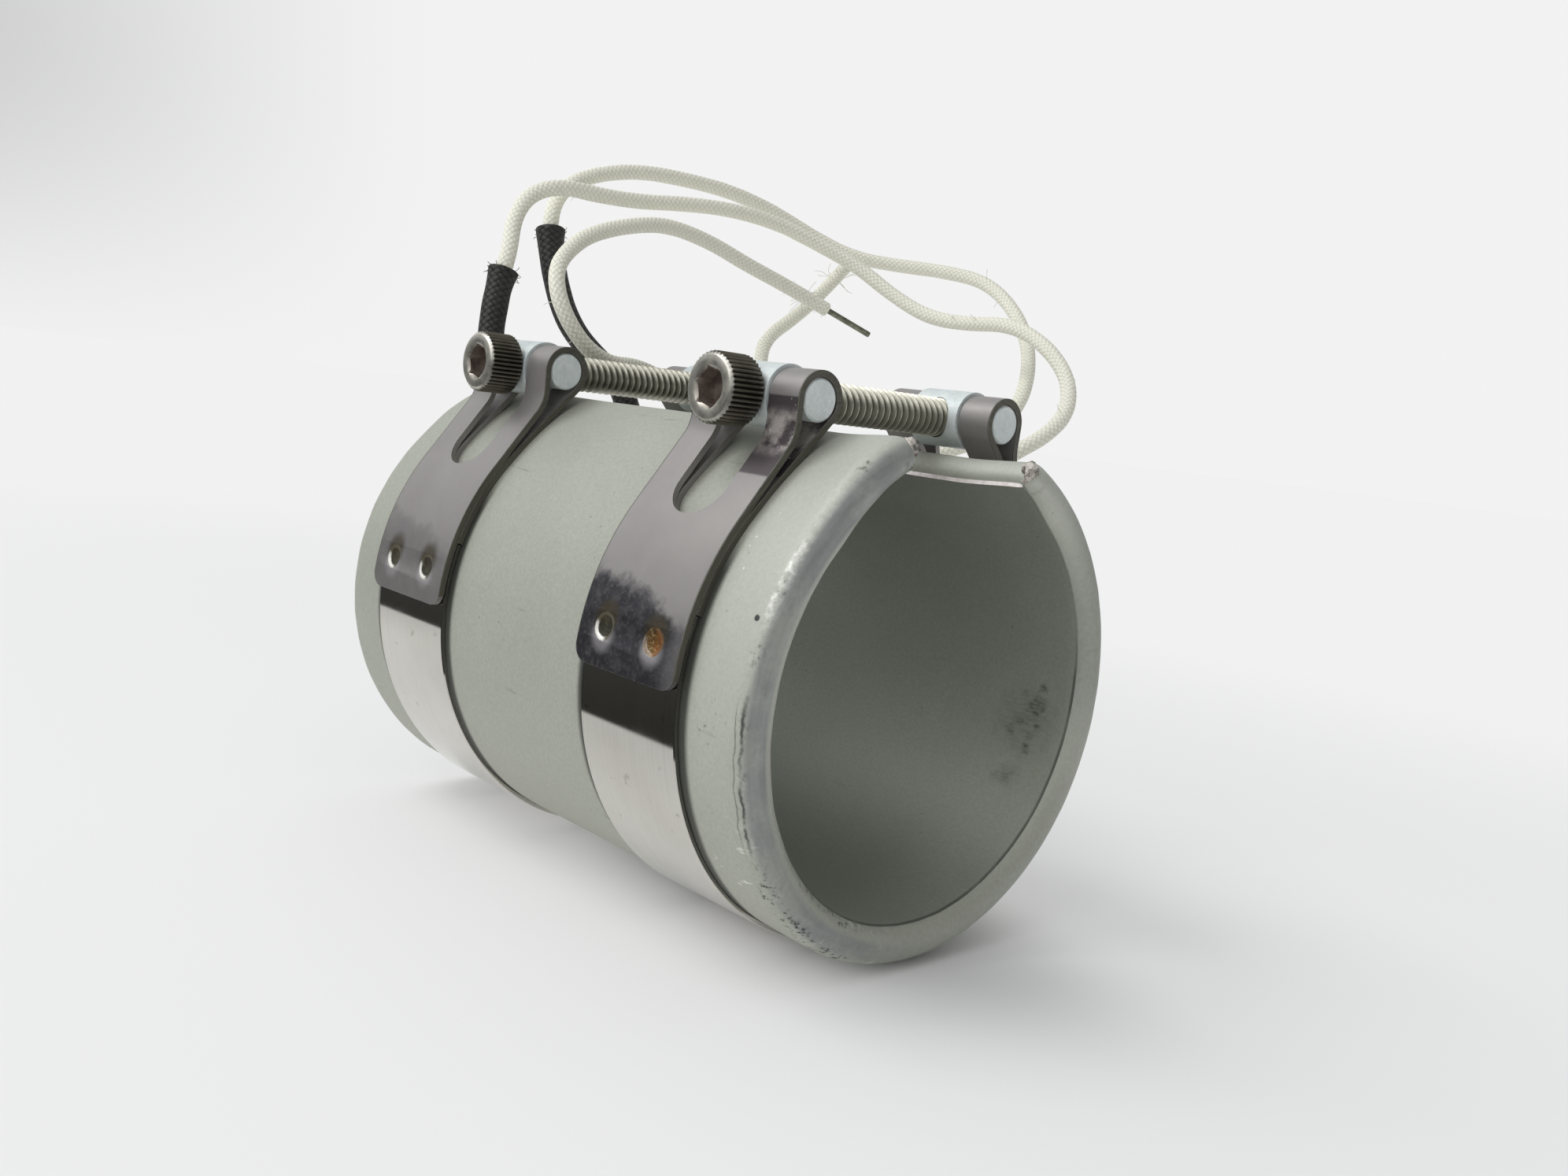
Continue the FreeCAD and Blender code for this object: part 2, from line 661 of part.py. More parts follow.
RIGHT_ROUTE = [
    (13.0, 38.7, 25.2), (12.7, 40.6, 29.6), (10.4, 42.0, 33.2), (6.2, 43.2, 36.2), (2.6, 44.4, 40.4),
    (0.8, 45.8, 46.0), (0.4, 47.8, 52.0), (1.3, 49.6, 57.4), (5.2, 51.4, 61.8), (12.2, 52.8, 64.8),
    (20.1, 53.1, 66.7), (29.4, 52.8, 67.2), (38.9, 51.9, 67.0), (48.2, 50.5, 65.2), (55.9, 47.4, 61.9),
    (61.7, 42.8, 59.4), (67.6, 37.1, 59.0), (72.5, 30.3, 58.8), (75.5, 23.0, 57.6), (75.3, 16.1, 53.3),
    (72.9, 9.8, 47.4), (68.1, 4.9, 41.2), (62.4, 1.8, 35.7), (56.6, 1.2, 31.6), (51.0, 3.0, 28.2),
    (46.8, 8.8, 26.0), (43.4, 16.0, 25.6), (40.6, 23.6, 26.6), (38.8, 31.2, 29.2), (38.8, 37.8, 33.2),
    (41.4, 42.2, 38.2), (44.9, 45.5, 42.7), (53.3, 46.8, 47.9), (60.1, 48.1, 53.1), (65.9, 49.1, 58.3),
]
# The sheath's end and top that the routes are written for
ROUTE_END = 42.85
ROUTE_TOP = 30.16
# Share of a run that the arc at each of its ends takes
CORNER_SHARE = 0.45


def seated(route):
    """The route's points, moved with the sheath's end and top."""
    shift = FreeCAD.Vector(0, half_length.value - ROUTE_END, outer_radius.value - ROUTE_TOP)
    return [FreeCAD.Vector(*point) + shift for point in route]


def rounded_route(points):
    """Edges of straight runs joined by tangent arcs, and the radius of each arc."""
    edges, radii = [], []
    start = points[0]
    for before, corner, after in zip(points, points[1:], points[2:]):
        arriving = corner - before
        leaving = after - corner
        half_turn = arriving.getAngle(leaving) / 2
        trim = CORNER_SHARE * min(arriving.Length, leaving.Length)
        radii.append(trim / math.tan(half_turn))
        arriving.normalize()
        leaving.normalize()
        first = corner - arriving * trim
        last = corner + leaving * trim
        inward = (leaving - arriving).normalize()
        depth = radii[-1] / math.cos(half_turn) - radii[-1]
        edges.append(Part.LineSegment(start, first).toShape())
        edges.append(Part.Arc(first, corner + inward * depth, last).toShape())
        start = last
    edges.append(Part.LineSegment(start, points[-1]).toShape())
    return edges, radii


def tube(edges, radius):
    """Round solid along a route."""
    start = edges[0].Vertexes[0].Point
    way = edges[0].Vertexes[1].Point - start
    spine = Part.Wire(edges)
    circle = Part.Wire(Part.Circle(start, way, radius).toShape())
    shell = Part.BRepOffsetAPI.MakePipeShell(spine)
    shell.add(circle)
    shell.build()
    shell.makeSolid()
    solid = shell.shape()
    expected = math.pi * radius ** 2 * spine.Length
    if abs(solid.Volume - expected) > expected / 100:
        raise RuntimeError(f"tube volume {solid.Volume:.1f}, expected {expected:.1f}")
    return solid


def add_shape(label, shape):
    feature = doc.addObject("Part::Feature", label)
    feature.Label = label
    feature.Shape = shape
    return feature


def first_edges(edges, length):
    """The edges of a route that end within a length of its start."""
    kept = []
    for edge in edges:
        length -= edge.Length
        if length < 0:
            return kept
        kept.append(edge)
    return kept


def make_lead(side, points):
    edges, radii = rounded_route(points)
    lead_radius = cell("lead_diameter").value / 2
    below = Part.makeCylinder((terminal_outer + seat_gap).value, cell("sheath_length").value, ORIGIN, Y_AXIS)
    add_shape(f"{side}_lead", tube(edges, lead_radius).cut(below))
    sleeved = first_edges(edges, cell(f"{side}_sleeve_length").value)
    sleeve = tube(sleeved, cell("sleeve_diameter").value / 2)
    bore = tube(sleeved, lead_radius + cell("sleeve_gap").value)
    add_shape(f"{side}_sleeve", sleeve.cut([bore, below]))
    length = sum(edge.Length for edge in edges)
    print(f"{side}_lead: {length:.1f} mm long, bend radii {min(radii):.1f} to {max(radii):.1f} mm")
    print(f"{side}_lead bends: " + ", ".join(f"{radius:.0f}" for radius in radii))

    wire = doc.addObject("Part::Cylinder", f"{side}_conductor")
    wire.Label = f"{side}_conductor"
    bind(wire, Radius=cell("conductor_diameter") / 2, Height=cell(f"{side}_bare_length"))
    wire.Placement = FreeCAD.Placement(points[-1], FreeCAD.Rotation(Z_AXIS, points[-1] - points[-2]))


def make_lead_hole(side, points):
    """Cutter for the hole through which a sleeve leaves the sheath."""
    hole = doc.addObject("Part::Cylinder", f"{side}_lead_hole")
    bind(hole, Radius=cell("sleeve_diameter") / 2 + cell("hole_gap"), Height=cell("hole_reach"))
    hole.Placement = FreeCAD.Placement(points[0], FreeCAD.Rotation(Z_AXIS, points[1] - points[0]))
    return hole


def finish_sheath(wrap, left_points, right_points):
    holes = doc.addObject("Part::MultiFuse", "lead_holes")
    holes.Shapes = [make_lead_hole("left", left_points), make_lead_hole("right", right_points)]
    cut = doc.addObject("Part::Cut", "outer_sheath")
    cut.Label = "outer_sheath"
    cut.Base = wrap
    cut.Tool = holes


left_points = seated(LEFT_ROUTE)
right_points = seated(RIGHT_ROUTE)
finish_sheath(make_sheath(), left_points, right_points)
make_liner()
make_layers()
make_clamp("front", -1)
make_clamp("rear", 1)
make_lead("left", left_points)
make_lead("right", right_points)
doc.recompute()

PIECES = [
    "outer_sheath", "inner_liner", "inner_mica", "element_former", "resistance_ribbon", "outer_mica",
    "backing_blanket",
]
for side in ("left", "right"):
    PIECES += [f"{side}_terminal", f"{side}_sleeve", f"{side}_lead", f"{side}_conductor"]
for end in ("front", "rear"):
    PIECES += [f"{end}_band", f"{end}_head_strap", f"{end}_far_strap"]
    PIECES += [f"{end}_head_trunnion", f"{end}_far_trunnion", f"{end}_screw"]

for item in doc.Objects:
    if "Invalid" in item.State or "Error" in item.State:
        raise RuntimeError(f"{item.Name} failed: {item.State}")
pieces = {label: doc.getObjectsByLabel(label)[0] for label in PIECES}
for label, piece in pieces.items():
    if piece.Shape.isNull() or not piece.Shape.isValid():
        raise RuntimeError(f"{label} has no valid shape")

os.makedirs("parts", exist_ok=True)
for label, piece in pieces.items():
    piece.Shape.exportStep(f"parts/{label}.step")
    print(f"{label}: {len(piece.Shape.Solids)} solid, {piece.Shape.Volume:.1f} cubic mm")
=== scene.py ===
# %% [markdown]
# # A clamp-on mica band heater
#
# The real object is a split sleeve of coated sheet steel that is clamped round a machine's barrel.
# Two steel bands with looped straps squeeze it, each drawn shut by a socket screw between two cross
# pins, and two braided leads bring the current.  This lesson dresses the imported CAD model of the
# heater.  Everything is in metres, in the CAD model's own frame: the barrel's axis is Y, and the gap
# and the screws are on top, at +Z.

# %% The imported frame
import math
import random
import bmesh
import bpy
from mathutils import Matrix, Vector, noise


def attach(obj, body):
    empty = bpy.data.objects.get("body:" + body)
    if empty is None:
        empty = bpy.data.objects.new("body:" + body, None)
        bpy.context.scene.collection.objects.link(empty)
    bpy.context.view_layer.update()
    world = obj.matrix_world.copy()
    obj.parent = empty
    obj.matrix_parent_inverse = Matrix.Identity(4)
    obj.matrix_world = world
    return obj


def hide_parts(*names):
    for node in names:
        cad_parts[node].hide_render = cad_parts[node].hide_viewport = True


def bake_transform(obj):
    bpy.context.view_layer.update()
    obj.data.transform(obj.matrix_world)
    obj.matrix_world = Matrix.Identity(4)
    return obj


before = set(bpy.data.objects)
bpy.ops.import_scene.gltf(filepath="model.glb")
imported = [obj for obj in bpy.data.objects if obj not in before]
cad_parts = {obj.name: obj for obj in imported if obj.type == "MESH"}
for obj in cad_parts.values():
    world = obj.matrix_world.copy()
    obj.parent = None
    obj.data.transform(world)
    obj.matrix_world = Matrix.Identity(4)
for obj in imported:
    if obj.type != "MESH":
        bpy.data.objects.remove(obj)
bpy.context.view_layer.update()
MM = 0.001

# %% [markdown]
# ## Camera
# The photograph was taken from the head side of the screws, a little above the axis and slightly
# tilted.  A camera is a place, a direction and a lens, so its matrix is built from three measured
# directions: what it sees as right, as up and as backwards.

# %% Camera
camera_data = bpy.data.cameras.new("photo_camera")
camera_data.lens = 31.825
camera_data.sensor_width = 36
camera_data.clip_start = 0.01
camera = bpy.data.objects.new("photo_camera", camera_data)
bpy.context.collection.objects.link(camera)
right = Vector((0.72798, -0.67465, 0.12207))
up = Vector((-0.00271, 0.17521, 0.98453))
backwards = Vector((-0.68559, -0.71705, 0.12572))
camera.matrix_world = Matrix.Translation((-0.119847, -0.139411, 0.030547)) @ Matrix(
    (right, up, backwards)).transposed().to_4x4()
bpy.context.scene.camera = camera
bpy.context.scene.view_settings.view_transform = "Standard"
print("camera lens:", camera_data.lens, "mm")

# %% [markdown]
# ## Making materials
# Every finish here is a small tree of nodes.  Blender's own calls for one node take several lines, so
# short helpers keep the trees readable: one adds a node with its settings, one links two sockets, and
# one feeds a socket with whatever it is given.


# %% Nodes and links
def add_node(tree, kind, **settings):
    node = tree.nodes.new(kind)
    for name, value in settings.items():
        setattr(node, name, value)
    return node


def wire(tree, source, target):
    tree.links.new(source, target)


def feed(tree, socket, value):
    """Put a number, a tuple or another node's output into a socket."""
    if isinstance(value, (int, float)):
        socket.default_value = value
    elif isinstance(value, tuple):
        socket.default_value = (*value, 1) if len(socket.default_value) == 4 else value
    else:
        wire(tree, value, socket)


def new_finish(name, colour, metallic=0.0, roughness=0.5):
    material = bpy.data.materials.new(name)
    material.use_nodes = True
    shader = material.node_tree.nodes["Principled BSDF"]
    shader.inputs["Base Color"].default_value = (*colour, 1)
    shader.inputs["Metallic"].default_value = metallic
    shader.inputs["Roughness"].default_value = roughness
    return material, material.node_tree, shader


def object_place(tree):
    return add_node(tree, "ShaderNodeTexCoord").outputs["Object"]


print("a finish starts as a Principled shader, and object_place gives its pattern a place")

# %% [markdown]
# A mask is a number between 0 and 1 that says where a colour goes.  Most masks come from a place: a
# value is worked out from it and then mapped smoothly onto 0 to 1.  Masks are multiplied where all of
# them must hold, and the greatest is taken where any of them is enough.


# %% Numbers and masks
def math_node(tree, operation, first, second=0.0):
    node = add_node(tree, "ShaderNodeMath", operation=operation)
    feed(tree, node.inputs[0], first)
    feed(tree, node.inputs[1], second)
    return node.outputs[0]


def plus(tree, first, second):
    return math_node(tree, "ADD", first, second)


def minus(tree, first, second):
    return math_node(tree, "SUBTRACT", first, second)


def product(tree, *values):
    result = values[0]
    for value in values[1:]:
        result = math_node(tree, "MULTIPLY", result, value)
    return result


def strongest(tree, *masks):
    result = masks[0]
    for mask in masks[1:]:
        result = math_node(tree, "MAXIMUM", result, mask)
    return result


def clamped(tree, value):
    clamp = add_node(tree, "ShaderNodeClamp")
    wire(tree, value, clamp.inputs["Value"])
    return clamp.outputs[0]


def ramp(tree, value, low, high, from_low=0.0, from_high=1.0):
    """Map a value smoothly from one range to another."""
    node = add_node(tree, "ShaderNodeMapRange", interpolation_type="SMOOTHSTEP")
    wire(tree, value, node.inputs["Value"])
    for name, number in (("From Min", from_low), ("From Max", from_high), ("To Min", low), ("To Max", high)):
        node.inputs[name].default_value = number
    return node.outputs[0]


def rise(tree, value, start, end):
    """0 below the start and 1 above the end."""
    return ramp(tree, value, 0, 1, start, end)


def fall(tree, value, start, end):
    """1 below the start and 0 above the end."""
    return ramp(tree, value, 1, 0, start, end)


def inside(tree, value, low, high, soft):
    """1 between two limits and 0 outside them, with soft ends."""
    return product(tree, rise(tree, value, low - soft, low + soft), fall(tree, value, high - soft, high + soft))


print("masks: rise, fall, inside")

# %% [markdown]
# A place is three numbers.  Vector nodes take it apart, put it together and measure it, and the Mix
# node lays one colour over another where a mask is strong.


# %% Places and colours
def vector_node(tree, operation, first, second=None):
    node = add_node(tree, "ShaderNodeVectorMath", operation=operation)
    feed(tree, node.inputs[0], first)
    if second is not None:
        feed(tree, node.inputs[1], second)
    return node.outputs


def length_of(tree, vector):
    return vector_node(tree, "LENGTH", vector)["Value"]


def separate(tree, place):
    split = add_node(tree, "ShaderNodeSeparateXYZ")
    wire(tree, place, split.inputs[0])
    return split.outputs


def combine(tree, *parts):
    joined = add_node(tree, "ShaderNodeCombineXYZ")
    for socket, value in zip(joined.inputs, parts):
        feed(tree, socket, value)
    return joined.outputs[0]


def from_axis(tree, split):
    """Distance from the barrel's axis."""
    return math_node(tree, "SQRT", plus(tree, product(tree, split["X"], split["X"]),
                                        product(tree, split["Z"], split["Z"])))


def mix_colour(tree, mask, first, second):
    """Blend two colours, each a tuple or a socket, by a mask."""
    node = add_node(tree, "ShaderNodeMix", data_type="RGBA")
    wire(tree, mask, node.inputs[0])
    feed(tree, node.inputs[6], first)
    feed(tree, node.inputs[7], second)
    return node.outputs[2]


def paint(tree, colour, new, *masks):
    """Lay a new colour over the first one, where all the masks are strong."""
    return mix_colour(tree, product(tree, *masks), colour, new)


def add_bump(tree, shader, height, distance):
    bump = add_node(tree, "ShaderNodeBump")
    bump.inputs["Distance"].default_value = distance
    wire(tree, height, bump.inputs["Height"])
    wire(tree, bump.outputs["Normal"], shader.inputs["Normal"])


print("colours: mix_colour, paint")

# %% [markdown]
# ## Effects shared by several finishes
# Blotches, scratches, specks and stains turn up on every metal part, each time at another size and
# strength.  They are built once as node groups that put out masks between 0 and 1.  A group has an
# inside, where its own inputs and outputs are two nodes, and is then placed like any other node.


# %% Node groups
def new_group(name, inputs, outputs):
    """A shader node group with named inputs (name: default) and outputs (names)."""
    tree = bpy.data.node_groups.new(name, "ShaderNodeTree")
    tree.interface.new_socket("Place", in_out="INPUT", socket_type="NodeSocketVector")
    for label, default in inputs.items():
        kind = "NodeSocketVector" if isinstance(default, tuple) else "NodeSocketFloat"
        tree.interface.new_socket(label, in_out="INPUT", socket_type=kind).default_value = default
    for label in outputs:
        tree.interface.new_socket(label, in_out="OUTPUT", socket_type="NodeSocketFloat")
    start = tree.nodes.new("NodeGroupInput")
    end = tree.nodes.new("NodeGroupOutput")
    return tree, start.outputs, end.inputs


def use_group(tree, group, place, **values):
    node = add_node(tree, "ShaderNodeGroup", node_tree=group)
    wire(tree, place, node.inputs["Place"])
    for name, value in values.items():
        node.inputs[name.capitalize()].default_value = value
    return node.outputs


def noise_node(tree, place, scale, detail, roughness=0.5):
    node = add_node(tree, "ShaderNodeTexNoise")
    node.inputs["Detail"].default_value = detail
    node.inputs["Roughness"].default_value = roughness
    wire(tree, place, node.inputs["Vector"])
    feed(tree, node.inputs["Scale"], scale)
    return node.outputs["Fac"]


print("groups are made by new_group and placed by use_group")

# %% [markdown]
# Mottle is a cloudy noise, cut off at the level that leaves a given share of the surface covered.
# Specks are scattered dots: one in each cell of a Voronoi pattern, kept in only a share of the cells.


# %% Mottle and specks
def make_mottle():
    tree, given, result = new_group("mottle", {"Scale": 200.0, "Cover": 0.5, "Edge": 0.1}, ["Mask", "Cloud"])
    cloud = noise_node(tree, given["Place"], given["Scale"], 6, 0.62)
    above = minus(tree, cloud, minus(tree, 1.0, given["Cover"]))
    mask = plus(tree, math_node(tree, "DIVIDE", above, given["Edge"]), 0.5)
    wire(tree, clamped(tree, mask), result["Mask"])
    wire(tree, cloud, result["Cloud"])
    return tree


def make_specks():
    tree, given, result = new_group("specks", {"Scale": 900.0, "Size": 0.2, "Share": 0.3}, ["Mask"])
    cells = add_node(tree, "ShaderNodeTexVoronoi")
    wire(tree, given["Place"], cells.inputs["Vector"])
    wire(tree, given["Scale"], cells.inputs["Scale"])
    picked = math_node(tree, "LESS_THAN", separate(tree, cells.outputs["Color"])["X"], given["Share"])
    near = minus(tree, given["Size"], cells.outputs["Distance"])
    wire(tree, product(tree, clamped(tree, product(tree, near, 12.0)), picked), result["Mask"])
    return tree


MOTTLE = make_mottle()
SPECKS = make_specks()


def mottle(tree, place, scale, cover=0.5, edge=0.5):
    return use_group(tree, MOTTLE, place, scale=scale, cover=cover, edge=edge)["Mask"]


def clouds(tree, place, scale):
    """The noise itself, before it is cut off at a level."""
    return use_group(tree, MOTTLE, place, scale=scale)["Cloud"]


def specks(tree, place, scale, size, share):
    return use_group(tree, SPECKS, place, scale=scale, size=size, share=share)["Mask"]


print("effects:", MOTTLE.name, SPECKS.name)

# %% [markdown]
# A scratch is a noise that is squeezed in one direction, so its spots become long thin lines.  On a
# round part it is worked out on the unrolled surface: the angle round the barrel times the radius, and
# the place along the barrel.  A stain is the space near one point, with a ragged edge.

# %% Scratches and stains
UNROLL_RADIUS = 0.03


def make_scratches():
    tree, given, result = new_group("unrolled_scratches", {"Round": 1.0, "Along": 1.0, "Density": 0.5},
                                    ["Mask", "Lines"])
    split = separate(tree, given["Place"])
    angle = math_node(tree, "ARCTAN2", split["X"], split["Z"])
    unrolled = combine(tree, product(tree, angle, UNROLL_RADIUS, given["Round"]),
                       product(tree, split["Y"], given["Along"]),
                       product(tree, from_axis(tree, split), given["Along"]))
    lines = noise_node(tree, unrolled, 1, 3)
    above = minus(tree, lines, minus(tree, 0.78, product(tree, given["Density"], 0.3)))
    wire(tree, clamped(tree, product(tree, above, 14.0)), result["Mask"])
    wire(tree, lines, result["Lines"])
    return tree


def make_stain():
    tree, given, result = new_group("stain", {
        "Centre": (0.0, 0.0, 0.0), "Stretch": (1.0, 1.0, 1.0), "Radius": 0.002, "Ragged": 0.001,
        "Grain": 1500.0, "Soft": 0.3}, ["Mask"])
    away = vector_node(tree, "SUBTRACT", given["Place"], given["Centre"])[0]
    away = vector_node(tree, "MULTIPLY", away, given["Stretch"])[0]
    rough = noise_node(tree, given["Place"], given["Grain"], 5)
    reach = plus(tree, length_of(tree, away), product(tree, minus(tree, rough, 0.5), given["Ragged"]))
    share = math_node(tree, "DIVIDE", minus(tree, given["Radius"], reach),
                      product(tree, given["Radius"], given["Soft"]))
    wire(tree, clamped(tree, share), result["Mask"])
    return tree


SCRATCHES = make_scratches()
STAIN = make_stain()


def scratched(tree, place, **values):
    return use_group(tree, SCRATCHES, place, **values)["Mask"]


def streaks(tree, place, **values):
    """The lines before they are thinned out to scratches."""
    return use_group(tree, SCRATCHES, place, **values)["Lines"]


def stain(tree, place, centre_mm, radius_mm, ragged_mm=0.0, **values):
    """A stain by its centre, radius and raggedness in millimetres."""
    return use_group(tree, STAIN, place, centre=tuple(number * MM for number in centre_mm),
                     radius=radius_mm * MM, ragged=ragged_mm * MM, **values)["Mask"]


print("effects:", SCRATCHES.name, STAIN.name)

# %% [markdown]
# ## Braid
# A braided sleeve is two sets of strands that wind round it in opposite directions and pass over and
# under each other.  On a tube's own UV map, u counts strands along it and v counts them round it, so
# u + v and u - v number the strands of the two sets.  Where the two numbers add up to an even
# number, one set is on top, and elsewhere the other.


# %% Braid pattern
def make_braid():
    tree, given, result = new_group("braid", {}, ["Height"])
    split = separate(tree, given["Place"])
    numbers = plus(tree, split["Y"], split["X"]), minus(tree, split["Y"], split["X"])
    crown = [math_node(tree, "SINE", product(tree, math_node(tree, "FRACT", number), math.pi)) for number in numbers]
    both = plus(tree, *(math_node(tree, "FLOOR", number) for number in numbers))
    top = product(tree, math_node(tree, "FRACT", product(tree, both, 0.5)), 2.0)
    below = minus(tree, 1.0, top)
    dip = [plus(tree, product(tree, value, 0.45), 0.55) for value in crown]
    one = product(tree, crown[0], dip[1], top)
    other = product(tree, crown[1], dip[0], below)
    wire(tree, plus(tree, one, other), result["Height"])
    return tree


BRAID = make_braid()
print("node groups:", len(bpy.data.node_groups))

# %% [markdown]
# ## Coated steel
# The sheath and its inner lining are the same coated sheet: soft grey-green and satin, with a fine
# grain, a few dark dots and hairline scratches.  One function makes the plain coating in two given colours,
# which for the lining are darker, partly its own tone and partly painted shade in the bore.  Each of the
# two finishes then adds its own wear, and the sheath's also adds painted light and shade.


# %% The coating
def coated_steel(name, dark, light):
    material, tree, shader = new_finish(name, light, 0.12, 0.5)
    place = object_place(tree)
    cloud = mottle(tree, place, 60, edge=0.6)
    colour = mix_colour(tree, cloud, dark, light)
    grain = use_group(tree, MOTTLE, place, scale=2300, cover=0.5, edge=0.35)
    colour = paint(tree, colour, tuple(part * 0.55 for part in dark), grain["Mask"], 0.3)
    dots = specks(tree, place, 420, size=0.085, share=0.32)
    colour = paint(tree, colour, (0.05, 0.05, 0.045), dots, 0.75)
    hairlines = scratched(tree, place, round=900, along=120, density=0.26)
    colour = paint(tree, colour, (0.16, 0.165, 0.15), hairlines, 0.45)
    wire(tree, ramp(tree, cloud, 0.46, 0.56), shader.inputs["Roughness"])
    add_bump(tree, shader, grain["Cloud"], 0.00004)
    return material, tree, shader, place, colour


print("the coating is shared by the sheath and its lining")

# %% [markdown]
# Object coordinates are the CAD model's own, so a place's numbers say where it is on the heater.  The
# two clamps are the same distance either side of the middle, and folding the barrel's axis about the
# middle lets one rule serve both.  A painted shadow darkens the sheath along each edge of each band, except near the
# top.

# %% Painted shadow beside the bands
CLAMP_PLACE = 0.024


def from_clamp(tree, along):
    """Distance from the middle plane of the nearer clamp."""
    return math_node(tree, "ABSOLUTE", minus(tree, math_node(tree, "ABSOLUTE", along), CLAMP_PLACE))


def shadow_beside_bands(tree, split):
    line = inside(tree, from_clamp(tree, split["Y"]), 0.0080, 0.0097, 0.0005)
    return product(tree, line, fall(tree, split["Z"], 0.013, 0.0185))


print("clamps at", CLAMP_PLACE / MM, "mm either side of the middle")

# %% [markdown]
# The front of the heater has been handled most.  It has pits on the rim's shoulder, a crack that
# follows the rim low down, a smear, a dash and a dot.  Where it has been set down there are fresh light
# scratches.  Each mark is a stain at its measured place, broken up by a mottle.


# %% Marks of use
def marks(tree, place, shoulder, head_side):
    """The dark marks on the front of the sheath."""
    pits = mottle(tree, place, 1500, cover=0.40, edge=0.14)
    pitted = product(tree, pits, mottle(tree, place, 210, cover=0.45, edge=0.12), shoulder, head_side)
    from_middle = math_node(tree, "ABSOLUTE", separate(tree, place)["Y"])
    wavy = plus(tree, from_middle, product(tree, clouds(tree, place, 300), 0.0012))
    low_rim = stain(tree, place, (-29.6, -41.9, -6.0), 9.5, 3.0, stretch=(1.0, 3.0, 1.0))
    lower_rim = stain(tree, place, (-18.5, -42.0, -23.2), 12.0, 4.0, stretch=(1.0, 3.0, 1.0))
    crack = product(tree, low_rim, inside(tree, wavy, 0.04222, 0.04248, 0.00012),
                    mottle(tree, place, 330, cover=0.55, edge=0.15))
    fine_crack = product(tree, low_rim, inside(tree, wavy, 0.04165, 0.04175, 0.00008), 0.8)
    rough_low = product(tree, lower_rim, pits, inside(tree, wavy, 0.0414, 0.0430, 0.0003), 1.4)
    worn = strongest(tree, crack, fine_crack, rough_low)
    smear = product(tree, stain(tree, place, (-30.1, -37.4, -1.0), 2.8, 4.0, grain=700.0),
                    mottle(tree, place, 1300, cover=0.36, edge=0.12))
    dash = stain(tree, place, (-17.4, -37.35, 24.65), 2.3, 0.5, stretch=(4.0, 1.0, 4.0), grain=2500.0)
    dot = stain(tree, place, (-28.4, -40.5, 10.2), 0.4, 0.3)
    return clamped(tree, strongest(tree, product(tree, pitted, 0.8), product(tree, worn, 0.9),
                                   product(tree, smear, 0.8), product(tree, dash, 0.85), dot))


def white_scratches(tree, place):
    low = stain(tree, place, (-24.5, -38.5, -16.0), 8.0, 3.0, stretch=(1.0, 1.7, 1.0))
    lower = stain(tree, place, (-14.0, -41.4, -26.0), 11.0, 3.0, stretch=(1.0, 4.0, 1.0))
    return product(tree, strongest(tree, low, lower), scratched(tree, place, round=700, along=330, density=0.5))


print("marks: pits, cracks, smear, dash, dot, scratches")

# %% [markdown]
# The coating is worn bright where the rolled rim begins, and on the head side's shoulder a painted highlight
# is laid in with that wear.  It is brushed bluish grey on the rim's face on the head side.  The far side's
# upper rim is painted darker as painted shade, and a ring round the front end is painted lighter as painted
# light, though not low down.  Each patch is a product of masks: how far along the barrel, how far out from
# its axis, and on which side.


